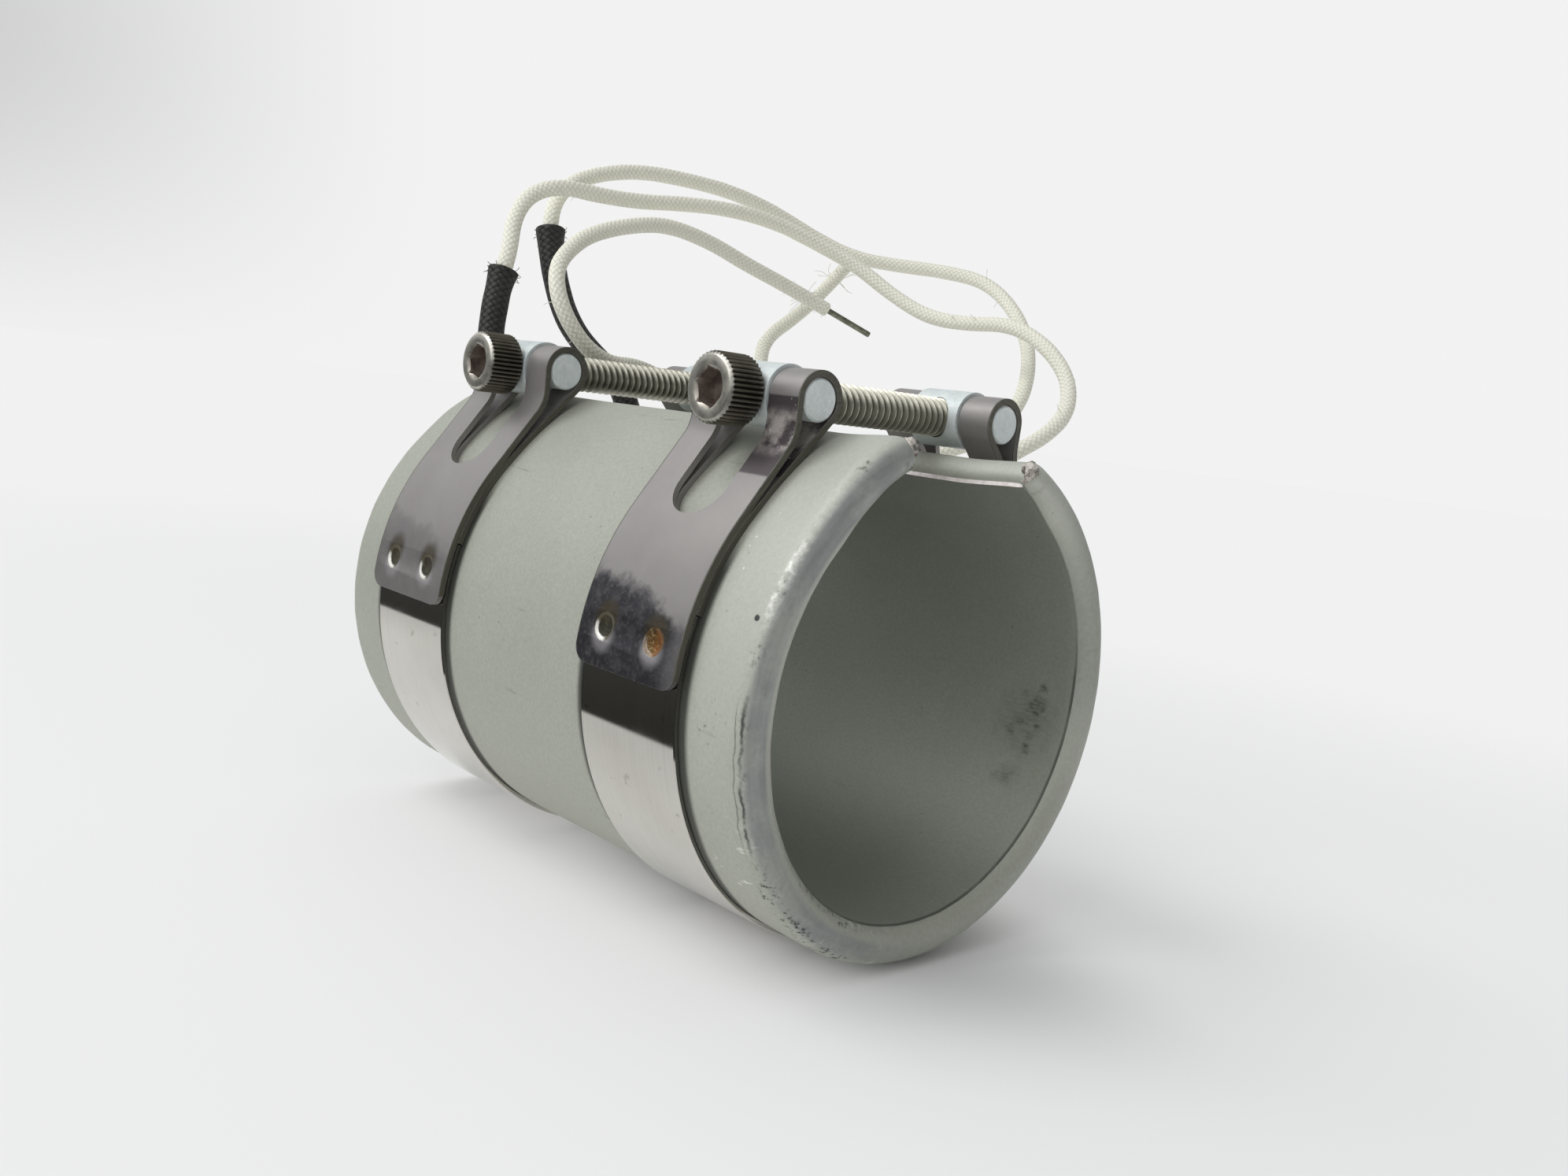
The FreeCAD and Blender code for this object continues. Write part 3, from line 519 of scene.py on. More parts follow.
# %% Sheath steel
def sheath_finish():
    material, tree, shader, place, colour = coated_steel(
        "coated_sheath_steel", (0.40, 0.413, 0.352), (0.455, 0.47, 0.405))
    split = separate(tree, place)
    from_middle = math_node(tree, "ABSOLUTE", split["Y"])
    head_side = ramp(tree, split["X"], 1, 0.12, -0.016, 0.004)
    # painted light: the sheath is painted lighter towards the front end, but not low down, where the floor shades it
    ring = product(tree, ramp(tree, split["Y"], 0.17, 0, -0.036, -0.031), rise(tree, split["Z"], -0.016, 0.004))
    colour = paint(tree, colour, (0.95, 0.97, 0.90), ring)

    face = product(tree, rise(tree, from_middle, 0.0416, 0.0424),
                   rise(tree, from_axis(tree, split), 0.0268, 0.0277), head_side)
    patches = mottle(tree, place, 130, edge=0.14)
    grains = mottle(tree, place, 1500)
    brushed = streaks(tree, place, round=160, along=1500, density=0.6)
    blue = mix_colour(tree, brushed, (0.17, 0.18, 0.185), (0.40, 0.41, 0.41))
    blue = paint(tree, blue, (0.16, 0.165, 0.17), grains, 0.35)
    colour = paint(tree, colour, blue, face, ramp(tree, patches, 0.55, 0.85))

    # painted shade: the upper part of the far side's rim is painted darker
    shaded_far_rim = product(tree, ramp(tree, from_middle, 0, 0.6, 0.0400, 0.0418), rise(tree, split["X"], 0.014, 0.026),
                   rise(tree, split["Z"], -0.010, 0.004))
    colour = paint(tree, colour, mix_colour(tree, grains, (0.30, 0.32, 0.275), (0.18, 0.19, 0.16)), shaded_far_rim)

    shoulder = inside(tree, from_middle, 0.0412, 0.0422, 0.0003)
    # painted highlight: a glint on the rim's shoulder, painted near-white together with the rubbed wear
    painted_glint = stain(tree, place, (-26.2, -41.9, 14.2), 5.5, 2.0)
    wear_and_glint = strongest(tree, product(tree, patches, head_side, 0.25), painted_glint)
    rubbed_and_glint = product(tree, shoulder, mottle(tree, place, 1100, cover=0.42, edge=0.3), wear_and_glint, 1.25)
    beside = stain(tree, place, (-27.0, -36.0, 14.0), 9.0, 3.0, stretch=(1.0, 2.2, 1.0))
    sparkle = product(tree, beside, specks(tree, place, 1500, size=0.22, share=0.12))
    rubbed_and_glint = clamped(tree, plus(tree, rubbed_and_glint, sparkle))
    colour = paint(tree, colour, (0.80, 0.80, 0.76), rubbed_and_glint)

    colour = paint(tree, colour, (0.05, 0.05, 0.048), marks(tree, place, shoulder, head_side))
    colour = paint(tree, colour, (0.85, 0.85, 0.83), white_scratches(tree, place), 0.6)
    # painted shadow: the sheath is darkened along each edge of each band
    colour = paint(tree, colour, (0.015, 0.017, 0.014), shadow_beside_bands(tree, split), 0.88)
    wire(tree, colour, shader.inputs["Base Color"])
    bare = clamped(tree, plus(tree, rubbed_and_glint, product(tree, face, 0.4)))
    wire(tree, ramp(tree, bare, 0.12, 0.75), shader.inputs["Metallic"])
    return material


SHEATH_STEEL = sheath_finish()
print("made:", SHEATH_STEEL.name)

# %% [markdown]
# The lining is darker than the sheath, partly its own tone and partly painted shade in the bore.  Black
# smudges lie in the bore near the front, on the far side: each is a soft stain, and fine streaks round the
# bore break them all up.  A dark, uneven seam runs round the bore where the lining meets the rolled rim.

# %% Lining steel
SMUDGES = [  # centre and radius in millimetres, and strength
    ((25.3, -37.1, -0.2), 0.9, 0.9), ((25.2, -36.9, -2.2), 1.25, 1.0), ((25.1, -36.8, -3.6), 0.9, 0.9),
    ((25.1, -35.7, -3.2), 0.9, 0.6), ((24.9, -34.6, -4.9), 0.9, 0.65), ((24.6, -33.6, -6.1), 0.8, 0.6),
    ((24.4, -31.6, -7.0), 0.7, 0.35), ((25.3, -34.5, -1.4), 0.7, 0.35), ((24.8, -37.3, -5.0), 0.7, 0.9),
    ((24.4, -36.7, -6.6), 0.8, 0.6), ((24.0, -36.9, -8.0), 1.0, 0.9), ((23.5, -36.7, -9.3), 0.6, 0.6),
    ((22.4, -35.6, -11.6), 2.1, 0.45), ((22.1, -34.0, -12.3), 1.0, 0.35), ((22.9, -37.6, 11.0), 0.7, 0.3),
]


def lining_finish():
    # the lining's colours are darker than the sheath's: partly its own tone, partly painted shade in the bore
    material, tree, shader, place, colour = coated_steel(
        "coated_lining_steel", (0.26, 0.275, 0.23), (0.295, 0.312, 0.262))
    smudge = strongest(tree, *(
        product(tree, stain(tree, place, centre, radius, 2.2, grain=1000.0, soft=0.9), strength)
        for centre, radius, strength in SMUDGES))
    fine = ramp(tree, scratched(tree, place, round=2300, along=700, density=1.0), 0.55, 1.0)
    haze = stain(tree, place, (24.9, -35.6, -5.0), 5.5, 4.0, grain=400.0, soft=1.0)
    colour = paint(tree, colour, (0.05, 0.055, 0.045), haze, fine, 0.45)
    colour = paint(tree, colour, (0.02, 0.022, 0.018), smudge, fine, 0.95)
    split = separate(tree, place)
    seam = product(tree, inside(tree, math_node(tree, "ABSOLUTE", split["Y"]), 0.0412, 0.0418, 0.0001),
                   ramp(tree, mottle(tree, place, 220, cover=0.6, edge=0.3), 0.35, 1),
                   ramp(tree, split["Z"], 1, 0.2, 0.001, 0.008))
    colour = paint(tree, colour, (0.04, 0.045, 0.035), seam, 0.75)
    wire(tree, colour, shader.inputs["Base Color"])
    return material


LINING_STEEL = lining_finish()
print("made:", LINING_STEEL.name, "with", len(SMUDGES), "smudges")

# %% [markdown]
# A cut edge of the sheet is bare steel, slightly pink beside the coating.  At the folded corners the
# coating has cracked off in white flakes over brown steel.  Three quiet finishes need no more than two
# colours and a mask, so one function makes them: a colour that clouds into another.


# %% Two-colour finishes
def two_tone(name, shown, metallic, roughness, dark, light, scale, cover=0.5, edge=0.3):
    """A finish that clouds from one colour into another; shown is its colour in the plain view."""
    material, tree, shader = new_finish(name, shown, metallic, roughness)
    cloud = mottle(tree, object_place(tree), scale, cover, edge)
    wire(tree, mix_colour(tree, cloud, dark, light), shader.inputs["Base Color"])
    return material, tree, shader, cloud


def torn_finish():
    material, tree, shader = new_finish("cracked_corner", (0.6, 0.55, 0.5), 0.2, 0.55)
    place = object_place(tree)
    flakes = mottle(tree, place, 700, cover=0.52, edge=0.1)
    rust = mottle(tree, place, 420, cover=0.42, edge=0.1)
    colour = mix_colour(tree, flakes, (0.16, 0.15, 0.13), (0.62, 0.58, 0.53))
    wire(tree, paint(tree, colour, (0.12, 0.075, 0.05), rust), shader.inputs["Base Color"])
    add_bump(tree, shader, flakes, 0.0001)
    return material


CUT_EDGE = two_tone("cut_sheet_edge", (0.8, 0.74, 0.72), 0.6, 0.35,
                    (0.86, 0.80, 0.78), (0.5, 0.44, 0.43), 500, cover=0.45)[0]
TORN_CORNER = torn_finish()
print("made:", CUT_EDGE.name, TORN_CORNER.name)

# %% [markdown]
# ## Bands and straps
# The bands are bright rolled strip with fine lines along the roll, a few hairline scratches and a net
# of faint brown cracks.  They are fully metallic and almost a mirror, so what they show is the room.


# %% Band steel
def band_finish():
    material, tree, shader = new_finish("bright_band_steel", (0.68, 0.66, 0.61), 1.0, 0.08)
    place = object_place(tree)
    cloud = mottle(tree, place, 120)
    colour = mix_colour(tree, cloud, (0.60, 0.58, 0.53), (0.67, 0.655, 0.61))
    rolled = scratched(tree, place, round=30, along=5200, density=0.75)
    colour = paint(tree, colour, (0.42, 0.4, 0.36), rolled, 0.15)
    hairlines = scratched(tree, place, round=700, along=500, density=0.32)
    colour = paint(tree, colour, (0.25, 0.23, 0.2), hairlines, 0.4)
    crack = product(tree, inside(tree, clouds(tree, place, 260), 0.498, 0.502, 0.002),
                    mottle(tree, place, 90, cover=0.3, edge=0.1))
    colour = paint(tree, colour, (0.30, 0.26, 0.18), crack, 0.45)
    wire(tree, colour, shader.inputs["Base Color"])
    wire(tree, ramp(tree, cloud, 0.05, 0.10), shader.inputs["Roughness"])
    return material


BAND_STEEL = band_finish()
print("made:", BAND_STEEL.name)

# %% [markdown]
# The straps are the same steel after heat: greyer and slightly purple.  The tab at a strap's end was
# welded down at two spots, which left it dark and mottled up to a ragged slanting line.  Below each
# weld it is pale, and beside it tan.  The heat mark is strong on the front clamp and faint on the rear.

# %% Heated tab
WELD_OFF = 0.0043
WELD_HIGH = 0.00527


def weld_reach(tree, off, height, wobble, below=0.0):
    """Distance from the nearest weld's middle, or from a place below it."""
    away = combine(tree, minus(tree, off, WELD_OFF), minus(tree, height, WELD_HIGH - below), 0.0)
    return plus(tree, length_of(tree, away), wobble)


def heated_tab(tree, split, off, sideways, ragged, patchy, tiny, colour):
    """The dark tab, the tan above each weld and the pale glow below it."""
    slope = minus(tree, plus(tree, split["Z"], product(tree, ragged, 0.005)), product(tree, sideways, 0.2))
    heated = fall(tree, plus(tree, slope, product(tree, off, off, 12.0)), 0.0115, 0.0135)
    heated = product(tree, heated, ramp(tree, split["Y"], 1, 0.3, -0.01, 0.01))
    dark = mix_colour(tree, patchy, (0.022, 0.022, 0.03), (0.085, 0.082, 0.092))
    dark = paint(tree, dark, (0.20, 0.20, 0.21), tiny, 0.45)
    dark = paint(tree, dark, (0.26, 0.25, 0.25), ramp(tree, sideways, 0.5, 0, -0.0085, -0.0055))
    colour = paint(tree, colour, dark, heated, 0.95)
    wobble = product(tree, minus(tree, ragged, 0.5), 0.0008)
    tan = fall(tree, weld_reach(tree, off, split["Z"], wobble, -0.0010), 0.0012, 0.0026)
    colour = paint(tree, colour, (0.07, 0.055, 0.03), tan, 0.8)
    glow = product(tree, fall(tree, weld_reach(tree, off, split["Z"], wobble, 0.0009), 0.0010, 0.0024),
                   fall(tree, split["Z"], WELD_HIGH - 0.0006, WELD_HIGH + 0.0006))
    colour = paint(tree, colour, (0.46, 0.44, 0.45), glow, 0.62)
    return colour, heated, wobble


print("welds", WELD_OFF / MM, "mm off the clamp's middle and", WELD_HIGH / MM, "mm above the axis")

# %% [markdown]
# A spot weld is a shallow pool with a raised wall.  The light that the wall catches on its lower left is a
# painted highlight, a near-white crescent.  One weld of the front clamp has run golden and purple.


# %% Spot welds
def weld_spots(tree, split, off, sideways, wobble, patchy, tiny, colour):
    """The wall and the pool of each weld; gives the pool's mask as well."""
    reach = weld_reach(tree, off, split["Z"], wobble)
    pool = fall(tree, reach, 0.0011, 0.0013)
    wall = inside(tree, reach, 0.0012, 0.0016, 0.0001)
    across = minus(tree, sideways, product(tree, math_node(tree, "SIGN", sideways), WELD_OFF))
    low_corner = minus(tree, across, minus(tree, split["Z"], WELD_HIGH))
    # painted highlight: the lower left of each weld's wall is painted near-white
    crescent_highlight = mix_colour(tree, rise(tree, low_corner, 0.0006, 0.0014), (0.16, 0.14, 0.09), (0.92, 0.90, 0.84))
    colour = paint(tree, colour, crescent_highlight, wall)
    plain = mix_colour(tree, patchy, (0.045, 0.045, 0.03), (0.13, 0.105, 0.065))
    gold = mix_colour(tree, tiny, (0.17, 0.085, 0.02), (0.95, 0.80, 0.40))
    gold = paint(tree, gold, (0.34, 0.13, 0.03), ramp(tree, across, 0.7, 0, -0.0005, 0.0003))
    gold = paint(tree, gold, (0.04, 0.018, 0.02), patchy, 0.75)
    golden = product(tree, fall(tree, split["Y"], -0.0262, -0.0258), fall(tree, split["X"], -0.02, -0.01))
    colour = paint(tree, colour, mix_colour(tree, golden, plain, gold), pool)
    colour = paint(tree, colour, gold, wall, golden, 0.85)
    return colour, pool


print("weld colours: plain and golden")

# %% [markdown]
# The front ear of the front clamp's head strap has a smoked patch whose shine is painted in as light
# blotches, a painted reflection.  Sheared edges show the sheet's dark layers, and where they are rounded they
# are painted light in places, partly as rubbed wear and partly as a painted highlight.

# %% Strap steel
HALF_STRAP = 0.00875


def ear_patch(tree, place, split, colour):
    ear = product(tree, inside(tree, split["Z"], 0.0236, 0.0322, 0.00015), fall(tree, split["X"], -0.01, -0.009),
                  fall(tree, split["Y"], -0.0279, -0.0277))
    # painted reflection: light blotches on the smoked patch stand in for its shine
    painted_sheen = product(tree, mottle(tree, place, 420, edge=0.2), inside(tree, split["Z"], 0.0262, 0.0305, 0.0009))
    smoke_and_sheen = mix_colour(tree, painted_sheen, (0.07, 0.055, 0.062), (0.55, 0.51, 0.48))
    smoke_and_sheen = paint(tree, smoke_and_sheen, (0.7, 0.68, 0.66), specks(tree, place, 1300, size=0.25, share=0.1))
    return paint(tree, colour, smoke_and_sheen, ear, 0.9)


def strap_finish():
    material, tree, shader = new_finish("heat_tinted_strap_steel", (0.33, 0.31, 0.305), 0.55, 0.42)
    place = object_place(tree)
    split = separate(tree, place)
    off = from_clamp(tree, split["Y"])
    sideways = minus(tree, split["Y"], product(tree, math_node(tree, "SIGN", split["Y"]), CLAMP_PLACE))
    ragged = clouds(tree, place, 420)
    patchy = mottle(tree, place, 620, cover=0.40, edge=0.3)
    tiny = mottle(tree, place, 1900, cover=0.36, edge=0.25)
    colour = mix_colour(tree, mottle(tree, place, 150, edge=0.6), (0.30, 0.282, 0.278), (0.35, 0.333, 0.32))
    rolled = scratched(tree, place, round=60, along=3600, density=0.5)
    colour = paint(tree, colour, (0.24, 0.22, 0.22), rolled, 0.12)
    colour, heated, wobble = heated_tab(tree, split, off, sideways, ragged, patchy, tiny, colour)
    colour, pool = weld_spots(tree, split, off, sideways, wobble, patchy, tiny, colour)
    colour = ear_patch(tree, place, split, colour)
    sheared = rise(tree, off, HALF_STRAP - 0.00018, HALF_STRAP - 0.0001)
    layers = mix_colour(tree, streaks(tree, place, round=120, along=8500, density=0.7),
                        (0.02, 0.019, 0.012), (0.15, 0.145, 0.115))
    wire(tree, paint(tree, colour, layers, sheared), shader.inputs["Base Color"])
    wire(tree, ramp(tree, ragged, 0.38, 0.48, 0.3, 0.7), shader.inputs["Roughness"])
    wire(tree, ramp(tree, sheared, 0.55, 0.1), shader.inputs["Metallic"])
    add_bump(tree, shader, plus(tree, product(tree, patchy, heated, 0.2), product(tree, tiny, pool)), 0.0001)
    return material


# rounded strap edges: painted light in places, partly as rubbed wear and partly as a painted highlight
WORN_EDGE_AND_HIGHLIGHT = two_tone("worn_and_highlight_strap_edge", (0.6, 0.58, 0.54), 0.35, 0.35,
                     (0.30, 0.29, 0.25), (0.92, 0.90, 0.85), 500, cover=0.55)[0]
STRAP_STEEL = strap_finish()
print("made:", WORN_EDGE_AND_HIGHLIGHT.name, STRAP_STEEL.name)

# %% [markdown]
# ## Pins and screws
# The cross pins are zinc plated, which is bluish and cloudy, with a fine crystal grain.


# %% Zinc plate
def zinc_finish():
    material, tree, shader = new_finish("zinc_plate", (0.6, 0.66, 0.65), 0.22, 0.4)
    place = object_place(tree)
    cloud = mottle(tree, place, 420)
    grain = mottle(tree, place, 2400, edge=0.35)
    colour = mix_colour(tree, cloud, (0.66, 0.73, 0.73), (0.90, 0.95, 0.94))
    wire(tree, paint(tree, colour, (0.40, 0.46, 0.46), grain, 0.3), shader.inputs["Base Color"])
    wire(tree, ramp(tree, cloud, 0.3, 0.48), shader.inputs["Roughness"])
    add_bump(tree, shader, grain, 0.000015)
    return material


ZINC_PLATE = zinc_finish()
print("made:", ZINC_PLATE.name)

# %% [markdown]
# The screws are dark steel whose thread crests, knurls and head rim have been rubbed light.  How far a
# point is from a screw's own axis tells a crest from a root, and a head from a thread.  How far it is
# along the axis tells the head's face from its side, and the socket's wall from both.

# %% Screw steel
PIN_HEIGHT = 32.14 * MM
HEAD_FACE = -24.32 * MM
THREAD_RADIUS = 2.415 * MM
ROOT_RADIUS = 1.85 * MM
HEAD_RADIUS = 3.96 * MM
KNURL = 0.36 * MM


def screw_finish():
    material, tree, shader = new_finish("screw_steel", (0.2, 0.18, 0.15), 0.75, 0.4)
    place = object_place(tree)
    split = separate(tree, place)
    out = length_of(tree, combine(tree, from_clamp(tree, split["Y"]), minus(tree, split["Z"], PIN_HEIGHT), 0.0))
    cloud = mottle(tree, place, 700, edge=0.4)
    crest = rise(tree, out, ROOT_RADIUS, THREAD_RADIUS)
    thread = mix_colour(tree, crest, (0.20, 0.195, 0.155), (0.50, 0.485, 0.41))
    ridge = rise(tree, out, HEAD_RADIUS - KNURL, HEAD_RADIUS)
    knurled = mix_colour(tree, ridge, (0.012, 0.011, 0.007), (0.24, 0.22, 0.175))
    knurled = paint(tree, knurled, (0.36, 0.34, 0.29), mottle(tree, place, 800, cover=0.4, edge=0.3), ridge, 0.5)
    head = rise(tree, out, THREAD_RADIUS, THREAD_RADIUS + 0.0002)
    colour = mix_colour(tree, head, thread, knurled)
    front = fall(tree, split["X"], HEAD_FACE + 0.0001, HEAD_FACE + 0.0004)
    colour = paint(tree, colour, mix_colour(tree, cloud, (0.33, 0.32, 0.28), (0.55, 0.53, 0.47)), front)
    rim = product(tree, fall(tree, split["X"], HEAD_FACE + 0.00035, HEAD_FACE + 0.0006),
                  rise(tree, out, HEAD_RADIUS - 0.00052, HEAD_RADIUS - 0.0004))
    colour = paint(tree, colour, (0.86, 0.83, 0.76), rim, mottle(tree, place, 600, edge=0.4), 0.9)
    socket = product(tree, fall(tree, out, 0.0024, 0.00245), fall(tree, split["X"], -0.0205, -0.0203),
                     rise(tree, split["X"], HEAD_FACE, HEAD_FACE + 0.0004))
    colour = paint(tree, colour, mix_colour(tree, cloud, (0.20, 0.155, 0.13), (0.46, 0.40, 0.36)), socket)
    wire(tree, colour, shader.inputs["Base Color"])
    wire(tree, ramp(tree, cloud, 0.26, 0.42), shader.inputs["Roughness"])
    return material


SCREW_STEEL = screw_finish()
print("made:", SCREW_STEEL.name)

# %% [markdown]
# ## Braids, wire and the hidden layers
# The leads are bare wire in a braid of white glass yarn, and each has a short black braided sleeve
# where it leaves the sheath.  Both read the tube's UV map, so the weave follows every bend.  What is
# hidden inside gets a quiet two-colour finish with a very slight bump.


# %% Braids, wire and the hidden layers
def braid_finish(name, dark, light, roughness, depth):
    material, tree, shader = new_finish(name, light, 0.0, roughness)
    strands = add_node(tree, "ShaderNodeTexCoord").outputs["UV"]
    weave = use_group(tree, BRAID, strands)["Height"]
    height = plus(tree, weave, product(tree, clouds(tree, strands, 3), 0.45))
    colour = mix_colour(tree, rise(tree, height, 0.25, 1.05), dark, light)
    soiled = mottle(tree, object_place(tree), 55)
    wire(tree, paint(tree, colour, dark, soiled, 0.3), shader.inputs["Base Color"])
    add_bump(tree, shader, height, depth)
    return material


def plain_finish(name, dark, light, scale, metallic, roughness):
    material, tree, shader, cloud = two_tone(name, light, metallic, roughness, dark, light, scale, edge=0.4)
    add_bump(tree, shader, cloud, 0.00002)
    return material


WHITE_BRAID = braid_finish("white_glass_braid", (0.78, 0.77, 0.64), (0.96, 0.95, 0.85), 0.85, 0.00009)
BLACK_BRAID = braid_finish("black_braid", (0.008, 0.008, 0.007), (0.04, 0.04, 0.036), 0.6, 0.00012)
BARE_WIRE = plain_finish("bare_wire", (0.10, 0.10, 0.07), (0.30, 0.31, 0.24), 900, 0.8, 0.4)
MICA = plain_finish("mica_board", (0.3, 0.24, 0.17), (0.5, 0.42, 0.3), 300, 0.1, 0.4)
BLANKET = plain_finish("ceramic_fibre", (0.62, 0.61, 0.57), (0.8, 0.79, 0.75), 800, 0.0, 0.95)
RIBBON = plain_finish("resistance_ribbon", (0.4, 0.38, 0.35), (0.6, 0.58, 0.54), 400, 1.0, 0.35)
print("finishes:", len(bpy.data.materials))

# %% [markdown]
# ## Making pieces
# Each piece starts as a bmesh.  One helper turns its faces outwards, makes it an object with its finish,
# smooths what is round and keeps the edges that are sharp.  Another says which body of the CAD model it
# rides on.


# %% Objects
def make_object(bm, name, *finishes, sharp=35, outward=True):
    if outward:
        bmesh.ops.recalc_face_normals(bm, faces=bm.faces)
    mesh = bpy.data.meshes.new(name)
    bm.to_mesh(mesh)
    bm.free()
    for finish in finishes:
        mesh.materials.append(finish)
    mesh.shade_smooth()
    mesh.set_sharp_from_angle(angle=math.radians(sharp))
    piece = bpy.data.objects.new(name, mesh)
    bpy.context.collection.objects.link(piece)
    return piece


def add_wall(piece, thickness):
    wall = piece.modifiers.new("wall", "SOLIDIFY")
    wall.thickness = thickness
    wall.offset = -1


def settle(piece, body, node):
    """Attach a piece to the body that carries it, and hide the CAD node that it stands for."""
    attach(piece, body)
    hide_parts(node)


print("pieces are made by make_object and placed by settle")

# %% [markdown]
# Most shapes here are an outline that is spun or swept.  An outline is a chain of vertices and edges.
# Points on the round sheath are given by a clock's hand: how far out, at what angle, how far along.
# A CAD node's mesh is loose triangles, so a copy of it is merged before anything else is done to it.

# %% Outlines and holes
MERGE = 0.002 * MM
SEAM_MERGE = 0.01 * MM


def clock(radius, angle, y):
    """A point by its distance from the axis and its angle from the top towards +X, in degrees."""
    turn = math.radians(angle)
    return Vector((radius * math.sin(turn), y, radius * math.cos(turn)))


def chain(bm, points, closed=False):
    """Vertices joined one after another by edges."""
    verts = [bm.verts.new(point) for point in points]
    edges = [bm.edges.new(pair) for pair in zip(verts, verts[1:])]
    if closed:
        edges.append(bm.edges.new((verts[-1], verts[0])))
    return verts, edges


def spin(bm, geometry, axis_point, degrees, steps):
    return bmesh.ops.spin(bm, geom=geometry, cent=axis_point, axis=(0, 1, 0), dvec=(0, 0, 0),
                          angle=math.radians(degrees), steps=steps, use_duplicate=False)


def open_ends(bm):
    """The edges round each hole, one list per hole."""
    left = {edge for edge in bm.edges if edge.is_boundary}
    loops = []
    while left:
        found = [left.pop()]
        for edge in found:
            near = {other for vert in edge.verts for other in vert.link_edges if other in left}
            left -= near
            found.extend(near)
        loops.append(found)
    return loops


def node_mesh(node):
    bm = bmesh.new()
    bm.from_mesh(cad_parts[node].data)
    bmesh.ops.remove_doubles(bm, verts=bm.verts, dist=MERGE)
    return bm


print("outlines: clock, chain, spin")

# %% [markdown]
# ## Sheath
# The sheath is one sheet, rolled into a round bead at both ends and folded over at both lips of the
# gap.  It is a spin of the sheet's outline round the barrel's axis.  The lips are the same outline spun
# half a turn about their own edge, which also closes the corners.  The real sheath isn't perfectly
# round: its front end spreads a little, most of all at the gap, and its wall gets thinner at the lips.
# One function of place moves the vertices of both the sheath and its lining, so they stay together.

# %% Sheath sizes
OUTER_RADIUS = 30.16 * MM
BEAD_RADIUS = 2.38 * MM
BEAD_CENTRE = 27.78 * MM
HALF_LENGTH = 42.85 * MM
BEAD_START = HALF_LENGTH - BEAD_RADIUS
SKIN = 0.6 * MM
GAP_CENTRE = 1.0
LIP_ANGLE = 23.41
BEAD_STEPS = 12
FLAT_STEPS = 44
ROUND_STEPS = 168
print("sheath:", 2 * OUTER_RADIUS / MM, "mm across and", 2 * HALF_LENGTH / MM, "mm long")

# %% [markdown]
# The worn place of a point is worked out from its perfect place.  The numbers below are in millimetres
# and degrees: where the front end starts to spread and by how much, and how much thinner the wall is at
# each lip.  A slow noise gives the sheet its slight waves, and a quick one roughens the rims.

# %% True shape of the sheath
FLARE_START = 31
FLARE_RUN = 11
SIDE_SPREAD = 0.45
TOP_SPREAD = {"head": 0.95, "far": 0.3}
LIP_RISE = 0.95
LIP_THINNING = {"head": 0.2, "far": 0.42}
LIP_LEAN = 1.6
WAVES = ((55, 0.10), (180, 0.03))
RIM_WAVES = (420, 0.06)


def smooth_step(value):
    value = min(max(value, 0.0), 1.0)
    return value * value * (3 - 2 * value)


def worn_place(point):
    """Where a point of the perfect sheath is on the real one."""
    radius = math.hypot(point.x, point.z)
    turn = math.degrees(math.atan2(point.x, point.z)) - GAP_CENTRE
    part = "head" if turn < 0 else "far"
    beyond = smooth_step((-point.y / MM - FLARE_START) / FLARE_RUN)
    top = max(0.0, math.cos(math.radians(turn))) ** 3
    side = 0.5 + 0.5 * math.sin(math.radians(turn))
    near_gap = smooth_step((38 - abs(turn)) / 19.5)
    spread = beyond * (SIDE_SPREAD * side + TOP_SPREAD[part] * top) * MM
    if part == "head":
        spread += smooth_step((52 + turn) / 26) * LIP_RISE * MM
    if radius < BEAD_CENTRE:
        radius = BEAD_CENTRE - (BEAD_CENTRE - radius) * (1 - LIP_THINNING[part] * near_gap)
    wave = sum(noise.noise(point * scale) * height * MM for scale, height in WAVES)
    rim = smooth_step((abs(point.y) / MM - 39) / 3)
    wave += rim * noise.noise(point * RIM_WAVES[0]) * RIM_WAVES[1] * MM
    if part == "head":
        turn -= LIP_LEAN * beyond * near_gap
    return clock(radius + spread + wave, turn + GAP_CENTRE, point.y)


def shape_as_worn(bm):
    for vert in bm.verts:
        vert.co = worn_place(vert.co)


for turn in (-30, 30, 90, 180):
    moved = worn_place(clock(OUTER_RADIUS, turn, -HALF_LENGTH))
    print("front rim at", turn, "degrees: out by", round((math.hypot(moved.x, moved.z) - OUTER_RADIUS) / MM, 2), "mm")

# %% [markdown]
# The outline of the sheet's outer half runs from the middle of one bead to the middle of the other.  It
# is spun round the barrel, and then half a turn about each lip.  The beads' inner halves are spun
# separately and end where the lining begins.  Solidify gives the shell the sheet's thickness.


# %% Sheath shell
def arc_points(centre, radius, first, last, steps):
    """Points of an arc in the plane of the barrel's axis (along, out from the axis)."""
    angles = [math.radians(first + (last - first) * step / steps) for step in range(steps + 1)]
    return [(centre[0] + radius * math.cos(angle), centre[1] + radius * math.sin(angle)) for angle in angles]


def sheath_outline():
    front = arc_points((-BEAD_START, BEAD_CENTRE), BEAD_RADIUS, 180, 90, BEAD_STEPS)
    rear = arc_points((BEAD_START, BEAD_CENTRE), BEAD_RADIUS, 90, 0, BEAD_STEPS)
    flat = [(-BEAD_START + 2 * BEAD_START * step / FLAT_STEPS, OUTER_RADIUS) for step in range(1, FLAT_STEPS)]
    return front + flat + rear


def inner_bead(side):
    bead = arc_points((BEAD_START, BEAD_CENTRE), BEAD_RADIUS, 0, -84, BEAD_STEPS)
    return [(along * side, out) for along, out in bead]


